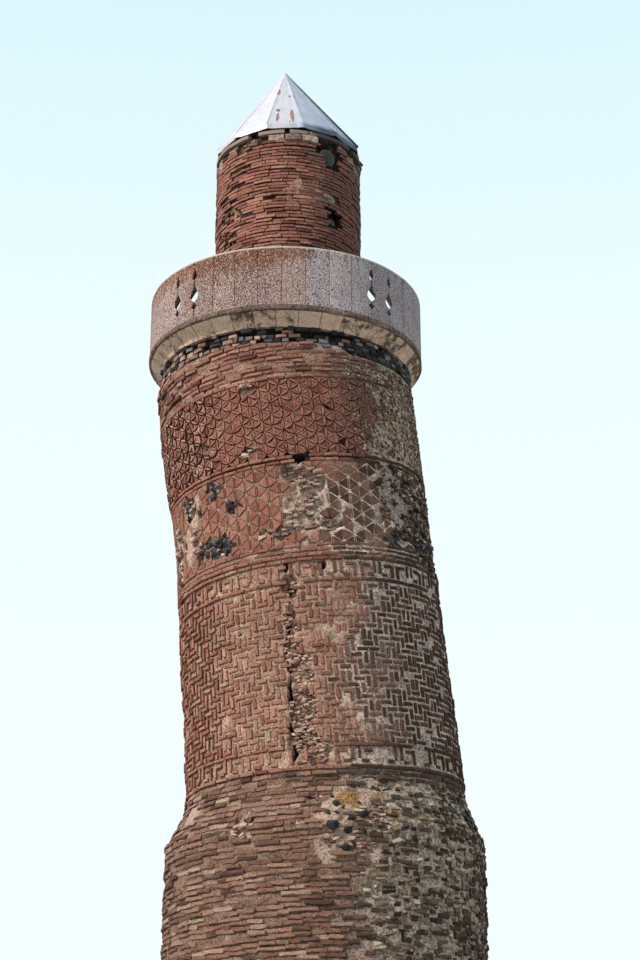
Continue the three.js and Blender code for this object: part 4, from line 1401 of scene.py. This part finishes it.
# Painted shade and reflection: the sheets turned from the light and the folded-down band get grime, so the
# dull colour, and the band on the right is also painted darker as shadow; the nail holes are dark as they
# are.
shadow = 0.7 * foot_band * ramp(azimuth, 0.25, 0.5) * ramp(2.6 - azimuth, 0.0, 0.4)
away = 0.75 * ramp(np.sin(azimuth - math.radians(5)), -0.35, 0.75)
values = {
    "grime_and_shade": np.maximum(away, foot_band * ramp(azimuth, -0.1, 0.3)),
    "rust": on_cone(azimuth, z, RUST),
    "shade": np.maximum(on_cone(azimuth, z, NAIL_HOLES), shadow),
}
places = np.stack([shifted, y, lifted], axis=-1)
as_piece("cone_sheets", (places, faces), METAL, values, ["cone_roof"])


# %% Cone seams
def seams(name, folds, width, proud, material):
    """Strips over some of the folds, that wide and high, narrowing towards the tip."""
    bm = bmesh.new()
    tip = Vector((TURRET_X + TIP_SHIFT, 0, CONE_TIP - 0.012))
    for index in folds:
        angle = FIRST_FOLD + 2 * math.pi * index / FACETS
        foot = Vector((TURRET_X + CONE_RADIUS * math.sin(angle), -CONE_RADIUS * math.cos(angle), FASCIA_HEAD))
        run, across = (foot - tip).normalized(), Vector((math.cos(angle), math.sin(angle), 0))
        out = across.cross(run).normalized()
        out = out if out.z > 0 else -out
        turn = Matrix((across, run, out)).transposed().to_4x4()
        middle = Matrix.Translation((foot + tip) / 2 - out * 0.001) @ turn
        size = Matrix.Diagonal((width, (foot - tip).length, proud, 1))
        for vert in bmesh.ops.create_cube(bm, size=1.0, matrix=middle @ size)["verts"]:
            if (vert.co - tip).length < 0.1:
                vert.co = tip + (vert.co - tip) * 0.4
    soften(bm, [e for e in bm.edges if e.calc_length() > 0.5], 0.0015)
    bmesh.ops.recalc_face_normals(bm, faces=bm.faces)
    # The seams get 0.6 of the way to the dull, painted shaded sheet colour.
    as_piece(name, bm, material, {"grime_and_shade": np.full(len(bm.verts), 0.6)})


# Painted shade: a near-black matt finish for the seams on the right, as the dark line of their shadow.
SHADED_SEAM = stone_finish("shaded_seam", (0, 6, 7, 10), (100, 30, 32, 40))
OPEN_FOLDS = (3, 4)  # on the right the seams stand open, and they are painted near black as their shadow
seams("cone_seams", [i for i in range(FACETS) if i not in OPEN_FOLDS], 0.020, 0.014, METAL)
seams("cone_shaded_seams", OPEN_FOLDS, 0.036, 0.060, SHADED_SEAM)

# %% [markdown]
# ## The loudspeakers
# Two horn loudspeakers stand in the broken openings. A horn is a body of revolution, so its section is
# drawn once and spun. A bracket holds it on the sill.

# %% Loudspeakers
mix = finish("horn_plastic", roughness=0.45, specular=0.4)
tint = mix.ramp(mix.noise(20, 6, 0.7), (30, 50, 52, 55), (55, 130, 130, 125), (80, 220, 210, 195))
HORN = mix.paint(mix.blend(mix.carried("shade"), tint, (22, 28, 32)), mix.noise(160, 3), 0.002)
BELL = [  # radius as a share of the bell's, and how far along the horn
    (0.27, 0.38), (0.29, 0.55), (0.40, 0.72), (0.60, 0.86), (0.88, 0.96), (0.97, 0.985), (1.0, 1.0),
    (0.97, 1.008), (0.93, 0.99), (0.55, 0.87), (0.34, 0.75), (0.0, 0.55),
]
INSIDE = 13  # from that point on the section lies inside the bell


def horn(name, hole, bell, mouth, solid):
    """A horn with its mouth at that distance from the turret's axis, standing on the sill of a hole."""
    length, driver, stand = bell * 1.8, bell * 0.4, bell * 1.15
    section = [(0, 0), (driver * 0.8, 0), (driver, 0.05), (driver, 0.33), (driver * 0.86, 0.36)]
    section += [(bell * share, along) for share, along in BELL]
    bm = bmesh.new()
    shade = bm.verts.layers.float.new("shade")
    verts = [bm.verts.new((radius, 0, along * length)) for radius, along in section]
    for vert in verts[INSIDE:]:
        vert[shade] = 1.0
    profile = verts + [bm.edges.new(pair) for pair in zip(verts, verts[1:])]
    bmesh.ops.spin(
        bm, geom=profile, cent=(0, 0, 0), axis=(0, 0, 1), angle=2 * math.pi, steps=40, use_merge=True
    )
    bmesh.ops.remove_doubles(bm, verts=bm.verts, dist=1e-5)
    bmesh.ops.recalc_face_normals(bm, faces=bm.faces)
    bmesh.ops.rotate(bm, verts=bm.verts, matrix=Matrix.Rotation(math.pi / 2, 3, "X"))
    bmesh.ops.translate(bm, verts=bm.verts, vec=(0, length - mouth, 0))
    foot, size = Matrix.Translation((0, 0.82 * length - mouth, -stand / 2)), (driver, length * 0.3, stand, 1)
    bracket = bmesh.ops.create_cube(bm, size=1.0, matrix=foot @ Matrix.Diagonal(size))["verts"]
    soften(bm, list({e for v in bracket for e in v.link_edges}), bell * 0.03, segments=2)
    bmesh.ops.translate(bm, verts=bm.verts, vec=(0, 0, hole[1] - hole[3] + stand))
    bmesh.ops.rotate(bm, verts=bm.verts, matrix=Matrix.Rotation(math.radians(hole[0]), 3, "Z"))
    bmesh.ops.translate(bm, verts=bm.verts, vec=(TURRET_X, 0, 0))
    as_piece(name, bm, HORN, solids=[solid]).data.shade_smooth()


horn("lower_horn", LOWER_BREAK, 0.080, 1.215, "loudspeaker_lower")
horn("upper_horn", UPPER_BREAK, 0.160, 1.240, "loudspeaker_upper")

# %% [markdown]
# ## The plinth
# The square foot is cut stone in courses, and its corners slope in to an octagon. All the stones of a wall
# are drawn as outlines, inset by half a joint, extruded and softened in one go. At a slope or the arch the
# outlines slant.

# %% Stone setting
PLINTH_HALF, FLOOR_TOP, BROACH_FOOT, PLINTH_TOP = 2.60, 0.22, 3.20, 4.20
OCTAGON_HALF = PLINTH_HALF * math.tan(math.pi / 8)
DOOR_HALF, DOOR_SPRING, DOOR_APEX = 0.42, 1.75, 2.15


def set_stones(name, wall, outlines, joint=0.014, depth=0.08, edge=0.014, crooked=0.004):
    """Stones from outlines in across and up, their fronts flush with the wall."""
    bm = bmesh.new()
    tone = bm.verts.layers.float.new("tone")
    for outline in outlines:
        value = rng.normal(0.5, 0.17)
        verts = [bm.verts.new((x, y, -depth)) for x, y in outline]
        for vert in verts:
            vert[tone] = value
        bm.faces.new(verts)
    rims = bmesh.ops.inset_individual(bm, faces=bm.faces[:], thickness=joint / 2)["faces"]
    bmesh.ops.delete(bm, geom=rims, context="FACES")
    fronts = only(FACE, extrude(bm, bm.faces[:], (0, 0, depth)))
    sink_rim(bm, fronts, bmesh.ops.inset_individual(bm, faces=fronts, thickness=edge)["faces"], edge * 0.8)
    tones = [v[tone] for v in bm.verts]
    points, faces = finished(bm)
    points = points + rng.normal(0, crooked, points.shape) * (1.0, 1.0, 0.5)
    places = wall(points[:, 0], points[:, 1], np.minimum(points[:, 2], 0.0))
    places[:, 2] = np.maximum(places[:, 2], 0.0)
    as_piece(name, (places, faces), CUT_STONE, {"tone": tones})


def coursed(low, high, left, right, rise=0.26, length=0.52):
    """Outlines of stones in courses between two borders. A border is across at a height and may slope."""
    rows = max(1, round((high - low) / rise))
    beds = np.linspace(low, high, rows + 1)
    beds[1:-1] += rng.uniform(-0.03, 0.03, rows - 1)
    for foot, head in zip(beds, beds[1:]):
        start, end = max(left(foot), left(head)), min(right(foot), right(head))
        count = max(1, round((end - start) / length))
        inner = start + (end - start) * (np.arange(1, count) + rng.uniform(-0.25, 0.25, count - 1)) / count
        feet, heads = [left(foot), *inner, right(foot)], [left(head), *inner, right(head)]
        for i in range(count):
            outline = [(feet[i], foot), (feet[i + 1], foot), (heads[i + 1], head), (heads[i], head)]
            yield outline[1:] if feet[i + 1] - feet[i] < 0.05 else outline


def plane_wall(origin, along, up):
    """A flat wall from its origin and the directions along and up, whose cross product looks outwards."""
    origin, along, up = (np.array(v, float) for v in (origin, along, up))
    normal = np.cross(along, up)
    normal /= np.linalg.norm(normal)

    def wall(across, height, out=0.0):
        times = np.multiply.outer
        return origin + times(across, along) + times(height, up) + times(out, normal)

    return wall


# %% Plinth stones
def sloping(sign):
    """The border of a wall, which slopes in above the broach's foot."""
    slope = (PLINTH_HALF - OCTAGON_HALF) / (PLINTH_TOP - BROACH_FOOT)
    return lambda height: sign * (PLINTH_HALF - slope * max(0.0, height - BROACH_FOOT))


def at(value):
    return lambda height: value


LEFT, RIGHT = at(-PLINTH_HALF), at(PLINTH_HALF)
ARCH_HALF, ARCH_HEAD = 0.75, 2.50
VOUSSOIRS = 6  # on each side of the arch
whole_wall = list(coursed(0.0, FLOOR_TOP, LEFT, RIGHT, rise=0.22, length=0.62))
whole_wall += coursed(FLOOR_TOP, BROACH_FOOT, LEFT, RIGHT)
whole_wall += coursed(BROACH_FOOT, PLINTH_TOP, sloping(-1), sloping(1))
door_wall = list(coursed(0.0, FLOOR_TOP, LEFT, RIGHT, rise=0.22, length=0.62))
door_wall += coursed(ARCH_HEAD, BROACH_FOOT, LEFT, RIGHT, rise=0.24)
door_wall += coursed(BROACH_FOOT, PLINTH_TOP, sloping(-1), sloping(1))
for sign in (-1, 1):
    for low, high, edge in ((FLOOR_TOP, DOOR_SPRING, DOOR_HALF), (DOOR_SPRING, ARCH_HEAD, ARCH_HALF)):
        door_wall += coursed(low, high, *((LEFT, at(-edge)) if sign < 0 else (at(edge), RIGHT)))
rise = DOOR_APEX - DOOR_SPRING
arch_radius = (DOOR_HALF**2 + rise**2) / (2 * DOOR_HALF)
for sign in (-1, 1):
    inner, outer = [], []
    for i in range(VOUSSOIRS + 1):
        sweep, run = math.asin(rise / arch_radius) * i / VOUSSOIRS, 2 * ARCH_HALF * i / VOUSSOIRS
        across = DOOR_HALF - arch_radius + arch_radius * math.cos(sweep)
        inner.append((sign * across, DOOR_SPRING + arch_radius * math.sin(sweep)))
        outer.append((sign * (ARCH_HALF - max(0.0, run - ARCH_HALF)), DOOR_SPRING + min(run, ARCH_HALF)))
    for i in range(VOUSSOIRS):
        door_wall.append([inner[i], outer[i], outer[i + 1], inner[i + 1]][::sign])
for side, (x, y) in {"front": (0, -1), "right": (1, 0), "back": (0, 1), "left": (-1, 0)}.items():
    wall = plane_wall((x * PLINTH_HALF, y * PLINTH_HALF, 0), (-y, x, 0), (0, 0, 1))
    set_stones(f"plinth_stones_{side}", wall, door_wall if side == "front" else whole_wall)
diagonal = (PLINTH_HALF - OCTAGON_HALF) / 2
half = diagonal * math.sqrt(2)
for index, (x, y) in enumerate(((1, -1), (1, 1), (-1, 1), (-1, -1))):
    along = (-y * math.sqrt(0.5), x * math.sqrt(0.5), 0)
    wall = plane_wall(
        (x * PLINTH_HALF, y * PLINTH_HALF, BROACH_FOOT), along, (-x * diagonal, -y * diagonal, 1.0)
    )
    set_stones(
        f"broach_stones_{index}", wall, list(coursed(0.0, 1.0, lambda h: -half * h, lambda h: half * h))
    )
for sign, side in ((-1, "left"), (1, "right")):
    wall = plane_wall((sign * DOOR_HALF, -1.80, 0), (0, -sign, 0), (0, 0, 1))
    set_stones(f"door_reveal_{side}", wall, list(coursed(FLOOR_TOP, DOOR_SPRING, at(-0.70), at(0.70))))

# %% [markdown]
# The walls behind the stones are copies of the solids, merged and sunk by the depth of a joint, so that
# mortar shows between the stones and the doorway, the room and the floor stay exactly where they are.

# %% Plinth beds
SUNK = 0.016
for name in sorted(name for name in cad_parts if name.startswith("plinth_") or name == "base_course"):
    bm = bmesh.new()
    bm.from_mesh(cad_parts[name].data)
    bmesh.ops.remove_doubles(bm, verts=bm.verts, dist=1e-5)
    for vert in bm.verts:
        for axis in (0, 1):
            if abs(vert.co[axis]) > PLINTH_HALF - 0.001:
                vert.co[axis] -= math.copysign(SUNK, vert.co[axis])
        at_jamb = abs(abs(vert.co.x) - DOOR_HALF) < 0.002 and vert.co.z < DOOR_SPRING + 0.01
        if at_jamb and name.startswith("plinth_front"):
            vert.co.x += math.copysign(SUNK, vert.co.x)
    faint = np.full(len(bm.verts), 0.35)
    as_piece(name + "_bed", bm, MORTAR, {"grime_and_shade": faint, "plaster": faint}, [name])

# %% [markdown]
# ## Floor and light
# A plain pale floor, a pale sky all round and one soft key light from the left, a little behind the camera:
# the left of the tower is warm, the right falls into cool shade, and each brick edge catches some light.

# %% Floor
bm = bmesh.new()
bmesh.ops.create_grid(bm, x_segments=8, y_segments=8, size=120.0)
floor = placed("floor", bpy.data.meshes.new("floor"))
bm.to_mesh(floor.data)
bm.free()
mix = finish("pale_floor", roughness=0.9)
mix.feed(mix.shader, {"Base Color": mix.ramp(mix.noise(0.6), (30, 360, 360, 355), (70, 400, 400, 395))})
floor.data.materials.append(mix.owner)

# %% Light
scene = bpy.context.scene
scene.view_settings.view_transform = "Standard"
scene.world = bpy.data.worlds.new("pale_sky")
mix = Mixer(scene.world, "Background")
rise = mix.node("ShaderNodeSeparateXYZ", {0: mix.node("ShaderNodeTexCoord")["Generated"]})["Z"]
mix.feed(
    mix.shader, {"Color": mix.ramp(rise, (25, 900, 1000, 1000), (45, 850, 990, 1000), (62, 690, 920, 975))}
)
key = placed("key", bpy.data.lights.new("key", "SUN"))
key.data.energy, key.data.angle, key.data.color = 6.0, math.radians(2.5), (1.0, 0.93, 0.84)
towards = Vector((-math.sin(math.radians(55)), -math.cos(math.radians(55)), math.tan(math.radians(40))))
key.rotation_euler = towards.to_track_quat("Z", "Y").to_euler()
